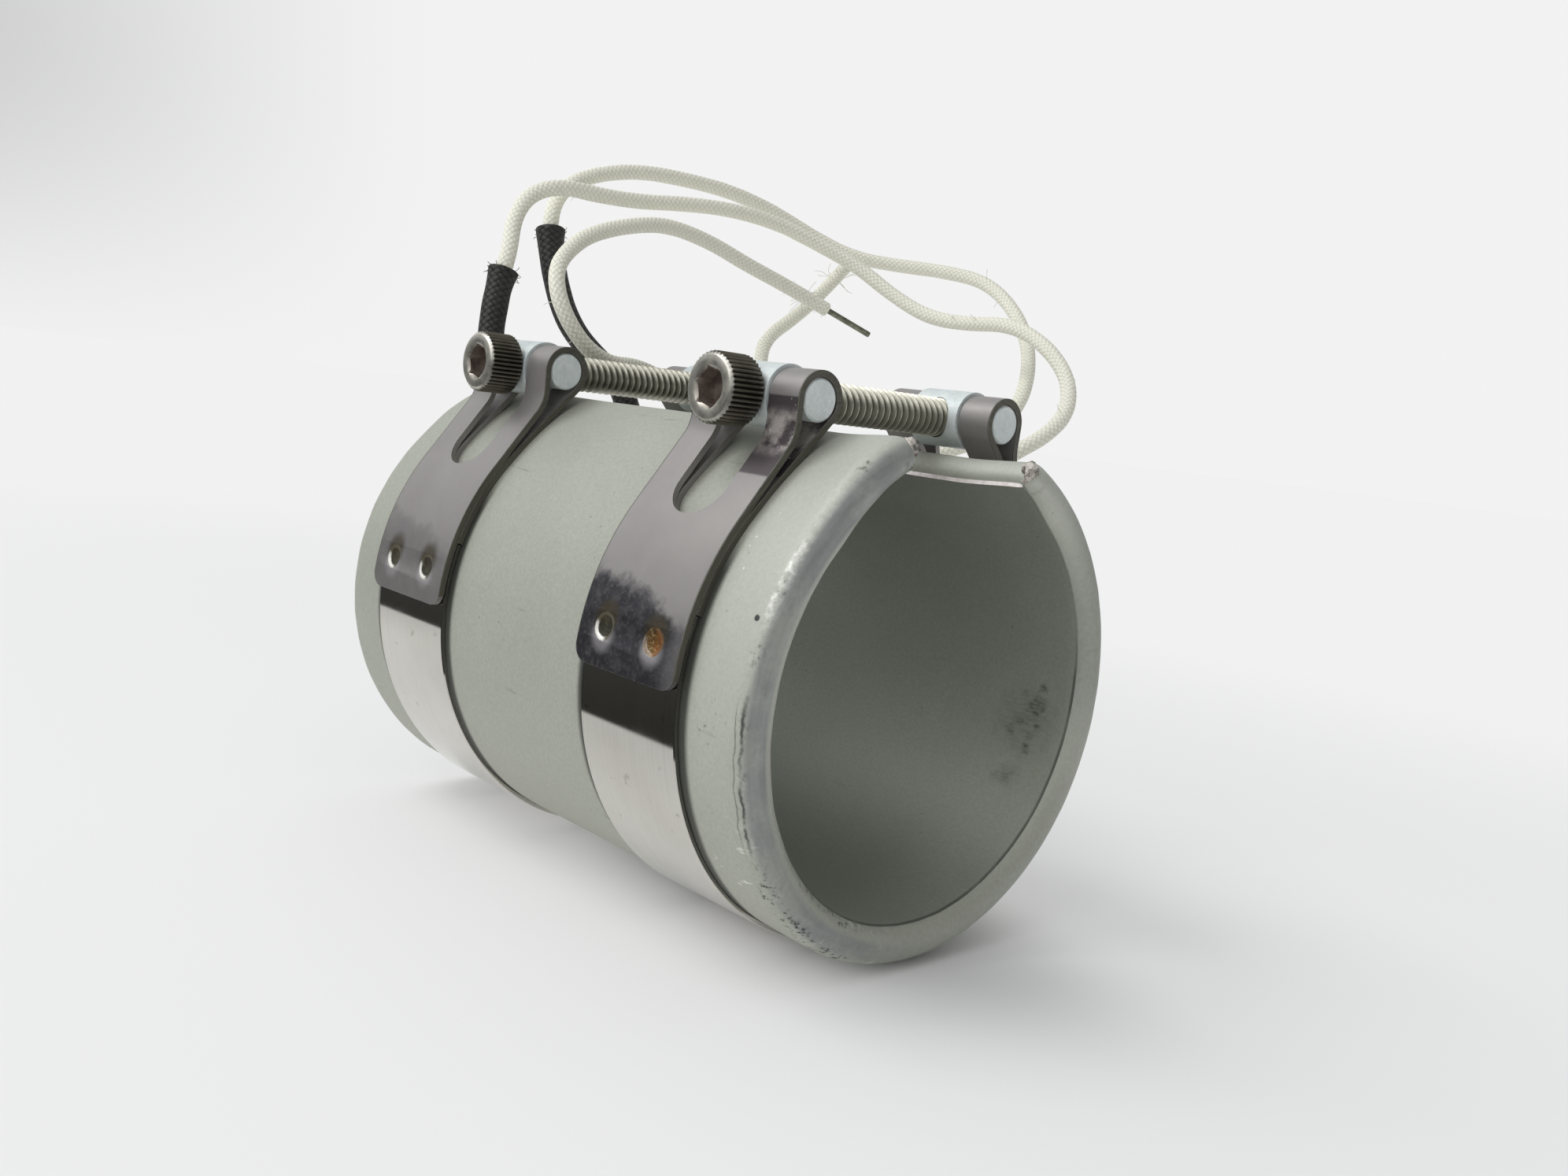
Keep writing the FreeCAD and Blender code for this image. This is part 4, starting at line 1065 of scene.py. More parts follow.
def make_sheath():
    bm = bmesh.new()
    start = GAP_CENTRE + LIP_ANGLE
    sweep = 360 - 2 * LIP_ANGLE
    for outline in (sheath_outline(), inner_bead(-1), inner_bead(1)):
        verts, edges = chain(bm, [clock(out, start, along) for along, out in outline])
        spin(bm, verts + edges, (0, 0, 0), sweep, ROUND_STEPS)
    for angle, turn in ((start, -180), (start + sweep, 180)):
        verts, edges = chain(bm, [clock(out, angle, along) for along, out in sheath_outline()])
        spin(bm, verts + edges, clock(BEAD_CENTRE, angle, 0), turn, BEAD_STEPS * 2)
    bmesh.ops.remove_doubles(bm, verts=bm.verts, dist=SEAM_MERGE)
    shape_as_worn(bm)
    piece = make_object(bm, "sheath_shell", SHEATH_STEEL, sharp=60)
    add_wall(piece, SKIN)
    return piece


sheath = make_sheath()
settle(sheath, "root", "outer_sheath")
print("sheath faces:", len(sheath.data.polygons))

# %% [markdown]
# The lining is spun from a closed outline, whose rims are rolled over the beads' inner halves.  Its two
# ends beside the lips are bright cut edges, so the faces that close them take the second finish.

# %% Lining of the bore
LINING_END = 19.6
LINING_FLAT = 39.5
LINING_INNER = 25.36
LINING_OUTER = 26.3
LINING_RIM = [(40.6, 25.35), (41.15, 25.42), (41.42, 25.5), (41.5, 25.68), (41.2, 26.1), (40.4, 26.3),
              (LINING_FLAT, LINING_OUTER)]


def make_lining():
    outline = [(-along, out) for along, out in reversed(LINING_RIM)]
    outline += [(-LINING_FLAT + 2 * LINING_FLAT * step / 40, LINING_INNER) for step in range(41)] + LINING_RIM
    outline += [(LINING_FLAT - 2 * LINING_FLAT * step / 20, LINING_OUTER) for step in range(1, 20)]
    bm = bmesh.new()
    start = GAP_CENTRE + LINING_END
    verts, edges = chain(bm, [clock(out * MM, start, along * MM) for along, out in outline], closed=True)
    spin(bm, verts + edges, (0, 0, 0), 360 - 2 * LINING_END, ROUND_STEPS)
    for loop in open_ends(bm):
        cap = bmesh.ops.holes_fill(bm, edges=loop, sides=0)["faces"]
        for face in cap:
            face.material_index = 1
    shape_as_worn(bm)
    return make_object(bm, "bore_lining", LINING_STEEL, CUT_EDGE, sharp=40)


lining = make_lining()
settle(lining, "root", "inner_liner")
print("lining faces:", len(lining.data.polygons))

# %% [markdown]
# At each corner of the gap the sheet was pinched together, and the coating cracked there.  Each pinch
# is an icosphere stretched along the lip and crumpled with noise.

# %% Pinched corners
PINCH_INSET = 3.2
PINCH_SIZE = Vector((0.85, 1.15, 1.3)) * MM


def make_corner(name, lip, end):
    angle = GAP_CENTRE + (LIP_ANGLE - PINCH_INSET) * lip
    bm = bmesh.new()
    bmesh.ops.create_icosphere(bm, subdivisions=5, radius=1)
    for vert in bm.verts:
        crumple = noise.noise(vert.co * 1.7 + Vector((3 * lip, 5 * end, 0))) * 0.28
        crumple += noise.noise(vert.co * 4.5) * 0.14
        vert.co *= 1 + crumple
    bmesh.ops.scale(bm, verts=bm.verts, vec=PINCH_SIZE)
    bmesh.ops.rotate(bm, verts=bm.verts, matrix=Matrix.Rotation(math.radians(angle), 3, "Y"))
    seat = worn_place(clock(BEAD_CENTRE + 0.6 * MM, angle, (HALF_LENGTH - 1.5 * MM) * end))
    bmesh.ops.translate(bm, verts=bm.verts, vec=seat)
    settle(make_object(bm, name, TORN_CORNER, sharp=80), "root", "outer_sheath")


for lip, lip_name in ((-1, "left"), (1, "right")):
    for end, end_name in ((-1, "front"), (1, "rear")):
        make_corner(f"{end_name}_{lip_name}_pinched_corner", lip, end)
print("corners pinched at the ends of both lips")

# %% [markdown]
# ## Bands
# A band is a thin strip wrapped under the heater, with an end under each strap's tab.

# %% Bands
CLAMPS = {"front": -24.0 * MM, "rear": 24.0 * MM}
BAND_INNER = 30.21 * MM
BAND_OUTER = 30.71 * MM
BAND_HALF = 8.4 * MM
BAND_END = 73.3
BAND_EDGE = 0.12 * MM
SIDES = {"head": -1, "far": 1}


def make_band(name, y, part):
    side = SIDES[part]
    bm = bmesh.new()
    corners = [
        (-BAND_HALF, BAND_INNER), (BAND_HALF, BAND_INNER), (BAND_HALF, BAND_OUTER - BAND_EDGE),
        (BAND_HALF - BAND_EDGE, BAND_OUTER), (-BAND_HALF + BAND_EDGE, BAND_OUTER), (-BAND_HALF, BAND_OUTER - BAND_EDGE)]
    verts, edges = chain(bm, [clock(out, 180, y + along) for along, out in corners], closed=True)
    spin(bm, verts + edges, (0, 0, 0), -(180 - BAND_END) * side, 72)
    tip = [edge for edge in bm.edges if edge.is_boundary and edge.verts[0].co.z > 0]
    bmesh.ops.holes_fill(bm, edges=tip, sides=0)
    piece = make_object(bm, f"{name}_band_{part}_half", BAND_STEEL, sharp=40)
    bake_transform(piece)
    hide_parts(f"{name}_band")


for clamp, y in CLAMPS.items():
    for part in SIDES:
        make_band(clamp, y, part)
print("band halves:", len(CLAMPS) * len(SIDES))

# %% [markdown]
# ## Straps and cross pins
# The CAD model already has the straps' true shape: up the sheath, round the cross pin and back under,
# split into two ears.  The cross pins are plain there too.  A merged copy of each gets a Bevel modifier,
# which gives the sheared edges the small rounding that catches the light, in a finish of its own.


# %% Straps and cross pins
def copy_node(node, name, finishes, bevel, segments=2):
    bm = node_mesh(node)
    bmesh.ops.dissolve_limit(bm, angle_limit=math.radians(0.5), verts=bm.verts, edges=bm.edges)
    piece = make_object(bm, name, *finishes, outward=False)
    edge = piece.modifiers.new("soft_edges", "BEVEL")
    edge.material = len(finishes) - 1
    edge.width = bevel
    edge.segments = segments
    edge.limit_method = "ANGLE"
    edge.angle_limit = math.radians(35)
    edge.harden_normals = True
    return piece


for clamp in CLAMPS:
    for part in SIDES:
        strap, pin = f"{clamp}_{part}_strap", f"{clamp}_{part}_trunnion"
        sheet = copy_node(strap, f"{strap}_sheet", (STRAP_STEEL, WORN_EDGE_AND_HIGHLIGHT), 0.13 * MM)
        settle(sheet, strap, strap)
        settle(copy_node(pin, f"{clamp}_{part}_cross_pin", (ZINC_PLATE,), 0.45 * MM, 4), pin, pin)
        print(strap, "faces:", len(sheet.data.polygons))

# %% [markdown]
# ## Screws
# A socket head cap screw.  The head is a stack of rings joined by bridges: a knurled side, a chamfer,
# a flat face and a hexagonal socket, whose rings follow the hexagon's own radius.  The flat faces are
# dished by a hundredth of a millimetre, because a bridge between two rings of one plane has no
# direction to go by and sometimes pairs them the wrong way round.

# %% Screw head
HEAD_SEAT = -19.49 * MM
HEAD_HEIGHT = 4.83 * MM
SCREW_LENGTH = 38.1 * MM
PITCH = 1.058 * MM
HEX_FLATS = 3.97 * MM
HEX_DEPTH = 2.6 * MM
DISH = 0.01 * MM
HEX_ANGLE = 15
KNURLS = 42
X_AXIS = (1, 0, 0)


def ring(bm, x, radii):
    """A closed row of vertices across the screw's axis, at the given radii."""
    points = []
    for step, radius in enumerate(radii):
        angle = 2 * math.pi * step / len(radii)
        points.append((x, radius * math.cos(angle), radius * math.sin(angle)))
    return chain(bm, points, closed=True)[1]


def round_at(radius, ridge=0.0):
    """The radii of a circle, with every second vertex lower by ridge."""
    return [radius, radius - ridge] * KNURLS


def hexagon_at(flats):
    """The radii of a hexagon by its width across the flats."""
    angles = [math.degrees(2 * math.pi * step / (KNURLS * 2)) for step in range(KNURLS * 2)]
    return [flats / 2 / math.cos(math.radians((angle - HEX_ANGLE) % 60 - 30)) for angle in angles]


def make_head(bm):
    """The head's rings, each by its place along the screw and its radii, from the seat to the socket."""
    face = HEAD_SEAT - HEAD_HEIGHT
    outline = [
        (HEAD_SEAT - DISH, round_at(THREAD_RADIUS * 0.9)), (HEAD_SEAT, round_at(HEAD_RADIUS - KNURL)),
        (HEAD_SEAT - 0.25 * MM, round_at(HEAD_RADIUS, KNURL)), (face + 0.62 * MM, round_at(HEAD_RADIUS, KNURL)),
        (face + 0.38 * MM, round_at(HEAD_RADIUS - 0.1 * MM, KNURL * 0.5)),
        (face + 0.1 * MM, round_at(HEAD_RADIUS - 0.42 * MM, KNURL * 0.12)),
        (face, round_at(HEAD_RADIUS - 0.6 * MM)), (face + DISH, round_at(HEX_FLATS / 2 + 0.55 * MM)),
        (face + 0.05 * MM, round_at(HEX_FLATS / 2 + 0.38 * MM)), (face + 0.32 * MM, hexagon_at(HEX_FLATS)),
        (face + HEX_DEPTH, hexagon_at(HEX_FLATS)),
    ]
    rings = [ring(bm, x, radii) for x, radii in outline]
    for inner, outer in zip(rings, rings[1:]):
        bmesh.ops.bridge_loops(bm, edges=inner + outer)
    bmesh.ops.holes_fill(bm, edges=rings[-1] + rings[0], sides=0)


print("head:", 2 * HEAD_RADIUS / MM, "mm across, with", KNURLS, "knurls")

# %% [markdown]
# The thread is one groove's outline, spun once round with a step along the axis, then copied turn by
# turn and merged.  A cut at each end takes off the surplus, and the holes are filled.

# %% Screw thread
THREAD_STEPS = 28


def make_thread(bm):
    turns = math.ceil(SCREW_LENGTH / PITCH) + 2
    flat = PITCH / 8
    outline = [(0, ROOT_RADIUS), (flat, ROOT_RADIUS), (PITCH / 2 - flat / 2, THREAD_RADIUS),
               (PITCH / 2 + flat / 2, THREAD_RADIUS), (PITCH - flat, ROOT_RADIUS), (PITCH, ROOT_RADIUS)]
    verts, edges = chain(bm, [(HEAD_SEAT - PITCH * 1.5 + x, 0, radius) for x, radius in outline])
    bmesh.ops.spin(bm, geom=verts + edges, cent=(0, 0, 0), axis=X_AXIS, dvec=(PITCH / THREAD_STEPS, 0, 0),
                   angle=2 * math.pi, steps=THREAD_STEPS, use_duplicate=False)
    turn = bm.verts[:] + bm.edges[:] + bm.faces[:]
    for number in range(1, turns):
        made = bmesh.ops.duplicate(bm, geom=turn)["geom"]
        copies = [item for item in made if isinstance(item, bmesh.types.BMVert)]
        bmesh.ops.translate(bm, verts=copies, vec=(PITCH * number, 0, 0))
    bmesh.ops.remove_doubles(bm, verts=bm.verts, dist=SEAM_MERGE)
    for x, outer in ((HEAD_SEAT - 0.2 * MM, False), (HEAD_SEAT + SCREW_LENGTH, True)):
        cut = bmesh.ops.bisect_plane(bm, geom=bm.verts[:] + bm.edges[:] + bm.faces[:], plane_co=(x, 0, 0),
                                     plane_no=X_AXIS, clear_outer=outer, clear_inner=not outer)
        rim = [item for item in cut["geom_cut"] if isinstance(item, bmesh.types.BMEdge)]
        bmesh.ops.holes_fill(bm, edges=rim, sides=0)


def make_screw(name, y):
    bm = bmesh.new()
    make_thread(bm)
    make_head(bm)
    bmesh.ops.translate(bm, verts=bm.verts, vec=(0, y, PIN_HEIGHT))
    piece = make_object(bm, f"{name}_socket_screw", SCREW_STEEL, sharp=38)
    settle(piece, f"{name}_screw", f"{name}_screw")
    print(piece.name, "faces:", len(piece.data.polygons))


for clamp, y in CLAMPS.items():
    make_screw(clamp, y)

# %% [markdown]
# ## Leads
# A lead is a tube along a smooth line.  The line is a NURBS spline whose control points are the route
# that the CAD model uses, in millimetres.

# %% Routes
LEFT_ROUTE = [
    (-12.2, 38.7, 25.3), (-12.9, 40.4, 33.5), (-11.7, 41.8, 42.0), (-9.5, 42.8, 48.9), (-8.3, 44.6, 53.7),
    (-5.5, 45.5, 57.9), (-0.4, 45.1, 60.1), (7.0, 45.7, 60.1), (15.3, 46.3, 60.7), (24.4, 46.2, 62.1),
    (33.4, 44.7, 62.8), (42.6, 42.8, 62.1), (50.1, 39.3, 59.5), (55.2, 34.7, 56.7), (58.3, 28.9, 52.5),
    (60.5, 21.9, 49.2), (61.7, 13.7, 48.6), (62.5, 5.4, 49.0), (62.1, -2.5, 45.8), (60.5, -8.8, 40.8),
    (56.6, -12.3, 35.6), (51.4, -12.9, 31.8), (46.8, -11.1, 28.7), (44.8, -3.6, 23.4), (42.0, 5.4, 21.0),
    (38.6, 14.2, 20.6), (34.6, 22.4, 22.4), (29.4, 29.4, 25.8), (22.8, 34.2, 30.2), (15.4, 35.8, 33.4),
    (8.6, 34.0, 34.6), (3.0, 31.9, 34.2), (-1.8, 30.9, 35.6), (-5.4, 30.9, 38.6), (-7.4, 31.9, 42.4),
    (-7.2, 33.8, 46.6), (-3.8, 36.1, 50.0), (1.3, 38.1, 53.2), (9.1, 39.5, 55.8), (17.2, 41.1, 57.4),
    (26.3, 41.3, 56.4), (34.7, 40.5, 53.8), (42.9, 39.2, 51.6), (50.6, 36.9, 48.8),
]
RIGHT_ROUTE = [
    (13.0, 38.7, 25.2), (12.7, 40.6, 29.6), (10.4, 42.0, 33.2), (6.2, 43.2, 36.2), (2.6, 44.4, 40.4),
    (0.8, 45.8, 46.0), (0.4, 47.8, 52.0), (1.3, 49.6, 57.4), (5.2, 51.4, 61.8), (12.2, 52.8, 64.8),
    (20.1, 53.1, 66.7), (29.4, 52.8, 67.2), (38.9, 51.9, 67.0), (48.2, 50.5, 65.2), (55.9, 47.4, 61.9),
    (61.7, 42.8, 59.4), (67.6, 37.1, 59.0), (72.5, 30.3, 58.8), (75.5, 23.0, 57.6), (75.3, 16.1, 53.3),
    (72.9, 9.8, 47.4), (68.1, 4.9, 41.2), (62.4, 1.8, 35.7), (56.6, 1.2, 31.6), (51.0, 3.0, 28.2),
    (46.8, 8.8, 26.0), (43.4, 16.0, 25.6), (40.6, 23.6, 26.6), (38.8, 31.2, 29.2), (38.8, 37.8, 33.2),
    (41.4, 42.2, 38.2), (44.9, 45.5, 42.7), (53.3, 46.8, 47.9), (60.1, 48.1, 53.1), (65.9, 49.1, 58.3),
]
print("control points:", len(LEFT_ROUTE), len(RIGHT_ROUTE))

# %% [markdown]
# The spline's points are read back with new_from_object.  They are closer together in the bends, so a
# second line is laid along them with points a fixed step apart.


# %% Smooth lines
def spline_points(route):
    """The points of a smooth line that has the route's points as its control points."""
    curve = bpy.data.curves.new("route", "CURVE")
    curve.dimensions = "3D"
    spline = curve.splines.new("NURBS")
    spline.points.add(len(route) - 1)
    for point, place in zip(spline.points, route):
        point.co = (*(value * MM for value in place), 1)
    spline.order_u = 3
    spline.use_endpoint_u = True
    spline.resolution_u = 16
    item = bpy.data.objects.new("route", curve)
    mesh = bpy.data.meshes.new_from_object(item)
    points = [vert.co.copy() for vert in mesh.vertices]
    bpy.data.objects.remove(item)
    bpy.data.meshes.remove(mesh)
    return points


def even_steps(points, step):
    """The same line with its points a fixed step apart."""
    spaced = [points[0]]
    carried = 0.0
    for start, stop in zip(points, points[1:]):
        run = (stop - start).length
        while carried + run >= step:
            start = start.lerp(stop, (step - carried) / run)
            spaced.append(start)
            run = (stop - start).length
            carried = 0.0
        carried += run
    spaced.append(points[-1])
    return spaced


def line_length(points):
    return sum((stop - start).length for start, stop in zip(points, points[1:]))


LINES = {"left": spline_points(LEFT_ROUTE), "right": spline_points(RIGHT_ROUTE)}
for side, line in LINES.items():
    print(side, "line:", round(line_length(line) / MM, 1), "mm")

# %% [markdown]
# A grid is rolled up round the line.  Each of its rows is a circle, turned as little as possible from
# one point to the next, so the braid doesn't twist.  The grid's own places become the UV map.


# %% Tubes along a line
def ring_frames(points):
    """For each point, a matrix that carries a circle from the origin, without twisting it."""
    frames = []
    turn = Vector((0, 0, 1)).rotation_difference(points[1] - points[0])
    for index, point in enumerate(points):
        before = points[max(index - 1, 0)]
        after = points[min(index + 1, len(points) - 1)]
        ahead = (after - before).normalized()
        heading = turn @ Vector((0, 0, 1))
        turn = heading.rotation_difference(ahead) @ turn
        frames.append(Matrix.Translation(point) @ turn.to_matrix().to_4x4())
    return frames


def roll_tube(bm, points, radii, around, strands=1.0, pitch=1.0, capped=True):
    """Roll a grid into a tube along the points; its UV map counts strands along and round it."""
    uv = bm.loops.layers.uv.verify()
    frames = ring_frames(points)
    rows = len(points) - 1
    step = line_length(points) / rows
    made = bmesh.ops.create_grid(bm, x_segments=around, y_segments=rows, size=0.5)["verts"]
    faces = {face for vert in made for face in vert.link_faces}
    for face in faces:
        for loop in face.loops:
            flat = loop.vert.co
            loop[uv].uv = ((flat.y + 0.5) * rows * step / pitch, (flat.x + 0.5) * strands)
    for vert in made:
        row = round((vert.co.y + 0.5) * rows)
        angle = (vert.co.x + 0.5) * 2 * math.pi
        circle = Vector((math.cos(angle), math.sin(angle), 0)) * radii[row]
        vert.co = frames[row] @ circle
    bmesh.ops.remove_doubles(bm, verts=made, dist=MERGE)
    if capped:
        for loop in open_ends(bm):
            bmesh.ops.holes_fill(bm, edges=loop, sides=0)


def make_tube(name, points, radii, around, finish, strands, pitch, capped=True):
    bm = bmesh.new()
    roll_tube(bm, points, radii, around, strands, pitch, capped)
    return make_object(bm, name, finish, sharp=60)


print("tubes: roll_tube, make_tube")

# %% [markdown]
# A sleeve is a wider tube on the lead's first part, flared and open at its cut end, with a wall of
# its own.

# %% Leads and sleeves
LINE_STEP = 0.5 * MM
LEAD_RADIUS = 1.2 * MM
SLEEVE_RADIUS = 1.9 * MM
SLEEVE_WALL = 0.35 * MM
SLEEVE_LENGTHS = {"left": 20.5 * MM, "right": 34.0 * MM}
FIRST_VISIBLE = 28.69 * MM


def outside(points):
    """The part of a line that is further from the barrel's axis than the lead's inner end."""
    first = next(index for index, point in enumerate(points) if math.hypot(point.x, point.z) > FIRST_VISIBLE)
    return points[first:]


def make_lead(side):
    points = even_steps(outside(LINES[side]), LINE_STEP)
    radii = [LEAD_RADIUS * (1 + 0.03 * noise.noise(point * 300)) for point in points]
    lead = make_tube(f"{side}_braided_lead", points, radii, 24, WHITE_BRAID, 8, 0.9 * MM)
    settle(lead, "root", f"{side}_lead")
    print(side, "lead", round(line_length(points) / MM, 1), "mm")
    return points


def make_sleeve(side, line):
    count = round(SLEEVE_LENGTHS[side] / LINE_STEP)
    points = line[:count]
    radii = []
    for index, point in enumerate(points):
        flare = max(0.0, (index / count - 0.8) / 0.2) ** 2
        radii.append(SLEEVE_RADIUS * (1 + 0.04 * noise.noise(point * 260) + 0.25 * flare))
    sleeve = make_tube(f"{side}_black_sleeve", points, radii, 28, BLACK_BRAID, 9, 1.0 * MM, capped=False)
    add_wall(sleeve, SLEEVE_WALL)
    settle(sleeve, "root", f"{side}_sleeve")


leads = {}
for side in LINES:
    leads[side] = make_lead(side)
    make_sleeve(side, leads[side])

# %% [markdown]
# The sleeves' cut ends fray, the braid frays at the leads' bare ends, and a few hairs of yarn stand off
# the leads.  Each hair is a very thin tube along a short random walk that starts on the surface and
# drifts outwards.

# %% Loose hairs
HAIR_RADIUS = 0.045 * MM
HAIR_STEPS = 8


def make_hairs(name, line, first, last, count, length, surface, finish, node, seed):
    chance = random.Random(seed)
    bm = bmesh.new()
    for number in range(count):
        start = line[min(int(chance.uniform(first, last) * (len(line) - 2)), len(line) - 2)]
        ahead = (line[line.index(start) + 1] - start).normalized()
        around = Vector([chance.uniform(-1, 1) for axis in range(3)]).cross(ahead).normalized()
        place = start + around * surface
        heading = (ahead * chance.uniform(-0.9, 1.2) + around).normalized()
        points = [place - around * 0.2 * MM]
        for step in range(HAIR_STEPS):
            sway = Vector([chance.uniform(-1, 1) for axis in range(3)])
            heading = (heading + sway * 0.3).normalized()
            points.append(points[-1] + heading * length * chance.uniform(0.6, 1.3) / HAIR_STEPS)
        roll_tube(bm, points, [HAIR_RADIUS] * len(points), 5)
    settle(make_object(bm, name, finish, sharp=80), "root", node)
    print(name, "hairs:", count)


for side, line in leads.items():
    share = SLEEVE_LENGTHS[side] / line_length(line)
    make_hairs(f"{side}_sleeve_fray", line, share * 0.93, share * 0.99, 24, 1.3 * MM, SLEEVE_RADIUS,
               BLACK_BRAID, f"{side}_sleeve", 5)
    make_hairs(f"{side}_lead_fray", line, 0.985, 1.0, 14, 3.6 * MM, LEAD_RADIUS * 0.8,
               WHITE_BRAID, f"{side}_lead", 9)
    make_hairs(f"{side}_lead_hairs", line, share * 1.02, 1.0, 16, 1.8 * MM, LEAD_RADIUS,
               WHITE_BRAID, f"{side}_lead", 7)

# %% [markdown]
# ## Hidden layers and carried nodes
# The layers inside the sheath keep their CAD shape, moved by the same function as the sheath, so they
# stay hidden where it spreads.

# %% Hidden layers
LAYERS = {
    "inner_mica": (MICA, "mica"), "outer_mica": (MICA, "mica"), "element_former": (MICA, "mica"),
    "resistance_ribbon": (RIBBON, "resistance_alloy"), "backing_blanket": (BLANKET, "ceramic_fibre"),
}
for node, (finish, slot) in LAYERS.items():
    bm = node_mesh(node)
    shape_as_worn(bm)
    settle(make_object(bm, f"{node}_sheet", finish), "root", node)
print("hidden layers:", len(LAYERS))

# %% [markdown]
# The bare wire ends and the terminals are plain in the CAD model and stay as they are there.  They only
# need a finish, which is put in their material slots.

# %% Carried nodes
CARRIED = {"terminal": RIBBON, "conductor": BARE_WIRE}
for kind, finish in CARRIED.items():
    for side in LINES:
        for material_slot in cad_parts[f"{side}_{kind}"].material_slots:
            material_slot.material = finish
print("carried nodes:", len(CARRIED) * len(LINES))

# %% [markdown]
# ## Studio
# The heater stands on a pale floor that fades into a background of nearly the same tone.  What polished
# steel shows is mostly its surroundings, so mirror rays see more here than the camera does.  Left of
# the heater the floor goes dark for them beyond a slanting edge, and the bands pick up that dark strip.
# Far from the heater the floor also glows a little, so that it meets the background without a line, and
# close to it the glow fades out, which keeps the shadow under the rim.

# %% Floor
BACKGROUND = 0.88
PAPER = (0.9, 0.9, 0.9)
FLOOR_HEIGHT = -30.95 * MM
FLOOR_RADIUS = 8


def stretched_distance(tree, place, moved, stretch):
    return length_of(tree, vector_node(tree, "MULTIPLY", vector_node(tree, "ADD", place, moved)[0], stretch)[0])


def paper_finish():
    material, tree, shader = new_finish("pale_paper", PAPER, 0.0, 0.9)
    shader.inputs["Specular IOR Level"].default_value = 0.2
    place = object_place(tree)
    seen = add_node(tree, "ShaderNodeLightPath")
    split = separate(tree, place)
    edge = ramp(tree, split["Y"], 0.0575, 0.083, 0.05, 0.1)
    past_edge = minus(tree, product(tree, split["X"], -1.0), edge)
    dark = strongest(tree, rise(tree, past_edge, 0.0, 0.004), ramp(tree, past_edge, 0, 0.3, -0.03, 0.0))
    dark = product(tree, dark, seen.outputs["Is Glossy Ray"])
    wire(tree, mix_colour(tree, dark, PAPER, (0.02, 0.02, 0.018)), shader.inputs["Base Color"])

    far = stretched_distance(tree, place, (-0.018, 0.012, 0.0), (1.0, 0.6, 0.0))
    near = stretched_distance(tree, place, (-0.008, 0.024, 0.0), (1.0, 0.45, 0.0))
    share = plus(tree, ramp(tree, far, 0.32, 0.6, 0.030, 0.085), ramp(tree, far, 0, 0.4, 0.09, 0.3))
    share = product(tree, share, rise(tree, near, 0.008, 0.026), minus(tree, 1.0, dark))
    glow = add_node(tree, "ShaderNodeEmission")
    feed(tree, glow.inputs["Color"], (BACKGROUND,) * 3)
    blend = add_node(tree, "ShaderNodeMixShader")
    for socket, source in zip(blend.inputs, (share, shader.outputs[0], glow.outputs[0])):
        wire(tree, source, socket)
    wire(tree, blend.outputs[0], tree.nodes["Material Output"].inputs["Surface"])
    return material


def make_floor():
    bm = bmesh.new()
    bmesh.ops.create_circle(bm, segments=96, radius=FLOOR_RADIUS, cap_ends=True)
    bmesh.ops.translate(bm, verts=bm.verts, vec=(0, 0, FLOOR_HEIGHT))
    floor = make_object(bm, "paper_floor", paper_finish(), outward=False)


make_floor()
print("floor at", FLOOR_HEIGHT / MM, "mm")

# %% [markdown]
# The main light is a softbox up on the left and behind the heater, which throws the shadow forwards and
# to the right.  A small weak one on the left opens the dark sides of the clamps.


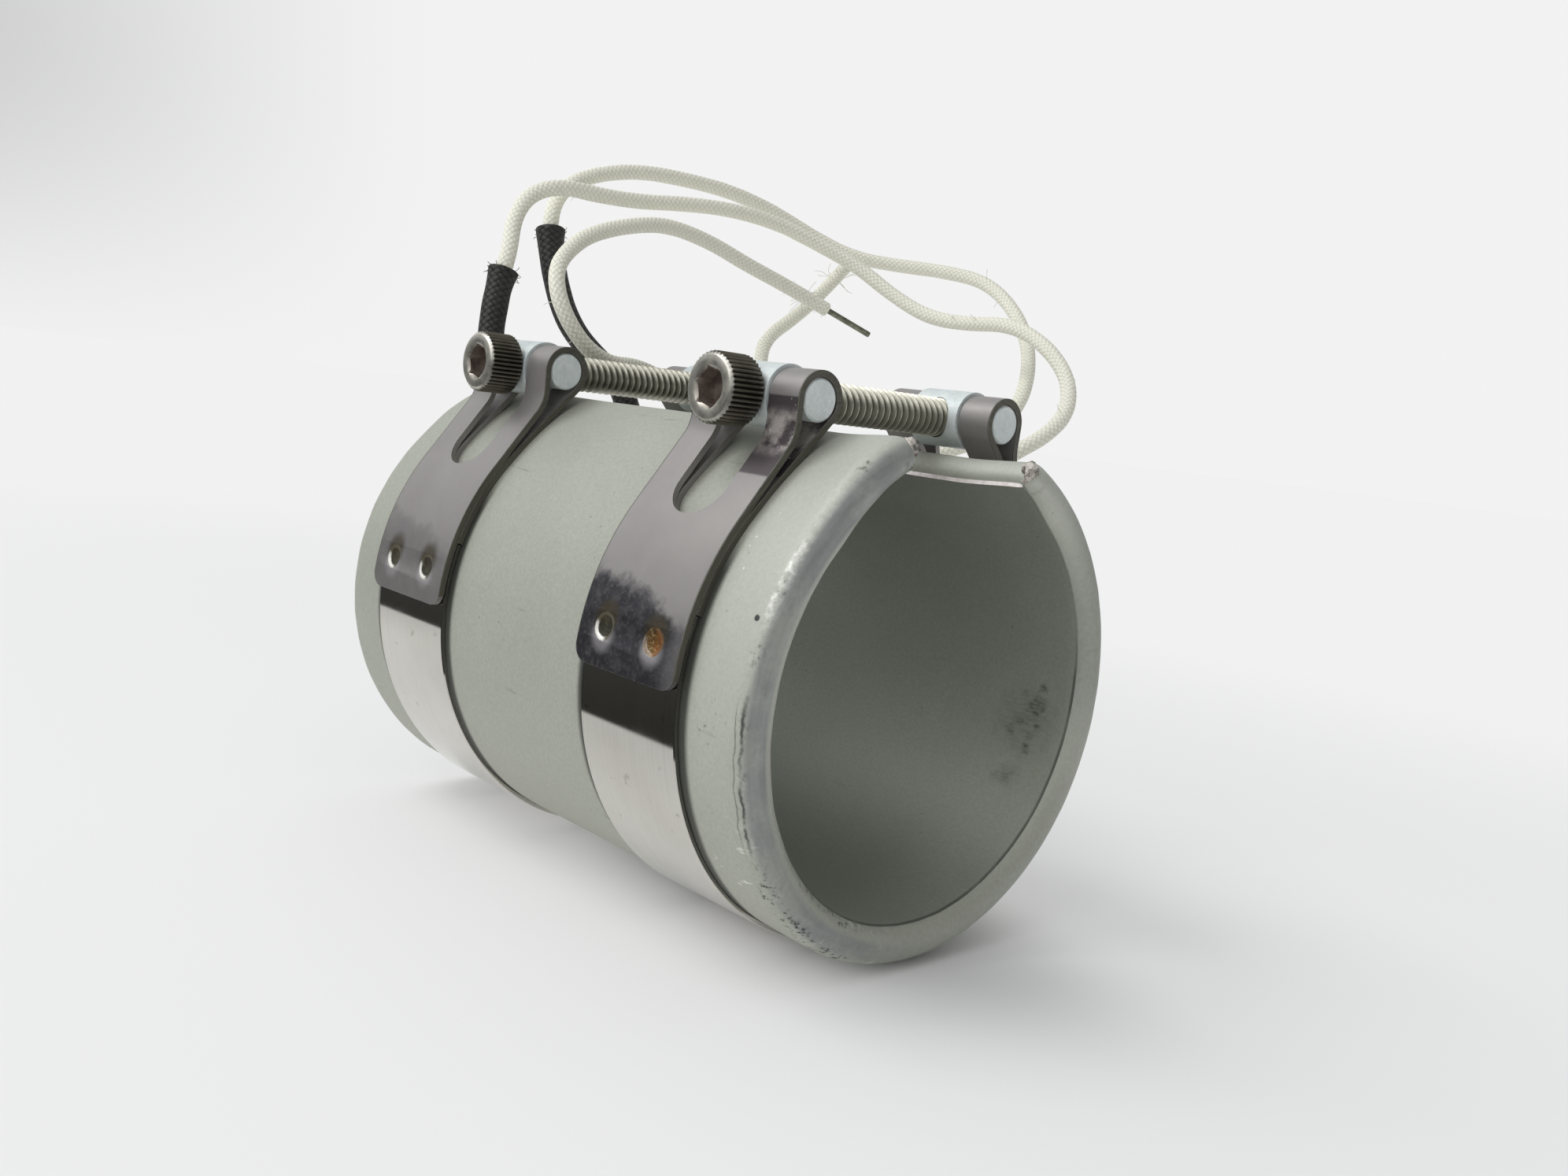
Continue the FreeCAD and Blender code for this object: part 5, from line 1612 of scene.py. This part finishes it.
# %% Lights
def add_softbox(name, place, size, power):
    """A square light that is aimed at the heater."""
    light = bpy.data.lights.new(name, "AREA")
    light.shape = "SQUARE"
    light.size = size
    light.energy = power
    item = bpy.data.objects.new(name, light)
    item.location = place
    item.rotation_euler = (-Vector(place)).to_track_quat("-Z", "Y").to_euler()
    bpy.context.collection.objects.link(item)


add_softbox("overhead_softbox", (-0.42, 0.34, 0.76), 0.4, 2.5)
add_softbox("left_softbox", (-0.4, -0.05, 0.3), 0.3, 0.4)
print("softboxes:", len(bpy.data.lights))

# %% [markdown]
# The room lights the heater from all sides, a little less from the photographer's side.  Mirror rays
# find it dark low on the left.  The camera doesn't see the room but a plain pale paper, slightly
# darker in the far left corner, so a Mix Shader chooses between the two by the kind of ray.

# %% Room round the heater
DARK_SIDE = (-1, 0, 0)
CAMERA_SIDE = (0.45, -0.85, 0.25)
CORNER_SIDE = (-0.5, 0.75, 0)


def towards(tree, direction, side):
    """How far a direction lies towards a side."""
    return vector_node(tree, "DOT_PRODUCT", direction, side)["Value"]


def make_room():
    world = bpy.data.worlds.new("studio")
    bpy.context.scene.world = world
    world.use_nodes = True
    sky = world.node_tree
    seen = add_node(sky, "ShaderNodeLightPath")
    direction = add_node(sky, "ShaderNodeTexCoord").outputs["Generated"]
    height = separate(sky, direction)["Z"]
    shaded = rise(sky, towards(sky, direction, CAMERA_SIDE), 0.1, 0.9)
    room = mix_colour(sky, shaded, (0.68, 0.69, 0.70), (0.25, 0.25, 0.25))
    room = paint(sky, room, (0.03, 0.03, 0.028), rise(sky, towards(sky, direction, DARK_SIDE), 0.0, 0.4),
                 fall(sky, height, 0.05, 0.2), seen.outputs["Is Glossy Ray"])
    corner = product(sky, rise(sky, towards(sky, direction, CORNER_SIDE), 0.4, 0.75), rise(sky, height, -0.05, 0.18))
    paper = mix_colour(sky, corner, (0.89,) * 3, (0.50, 0.50, 0.51))
    choose = add_node(sky, "ShaderNodeMixShader")
    wire(sky, seen.outputs["Is Camera Ray"], choose.inputs[0])
    for socket, colour in zip(choose.inputs[1:], (room, paper)):
        light = add_node(sky, "ShaderNodeBackground")
        wire(sky, colour, light.inputs["Color"])
        wire(sky, light.outputs[0], socket)
    wire(sky, choose.outputs[0], sky.nodes["World Output"].inputs["Surface"])
    return world


print("world:", make_room().name)
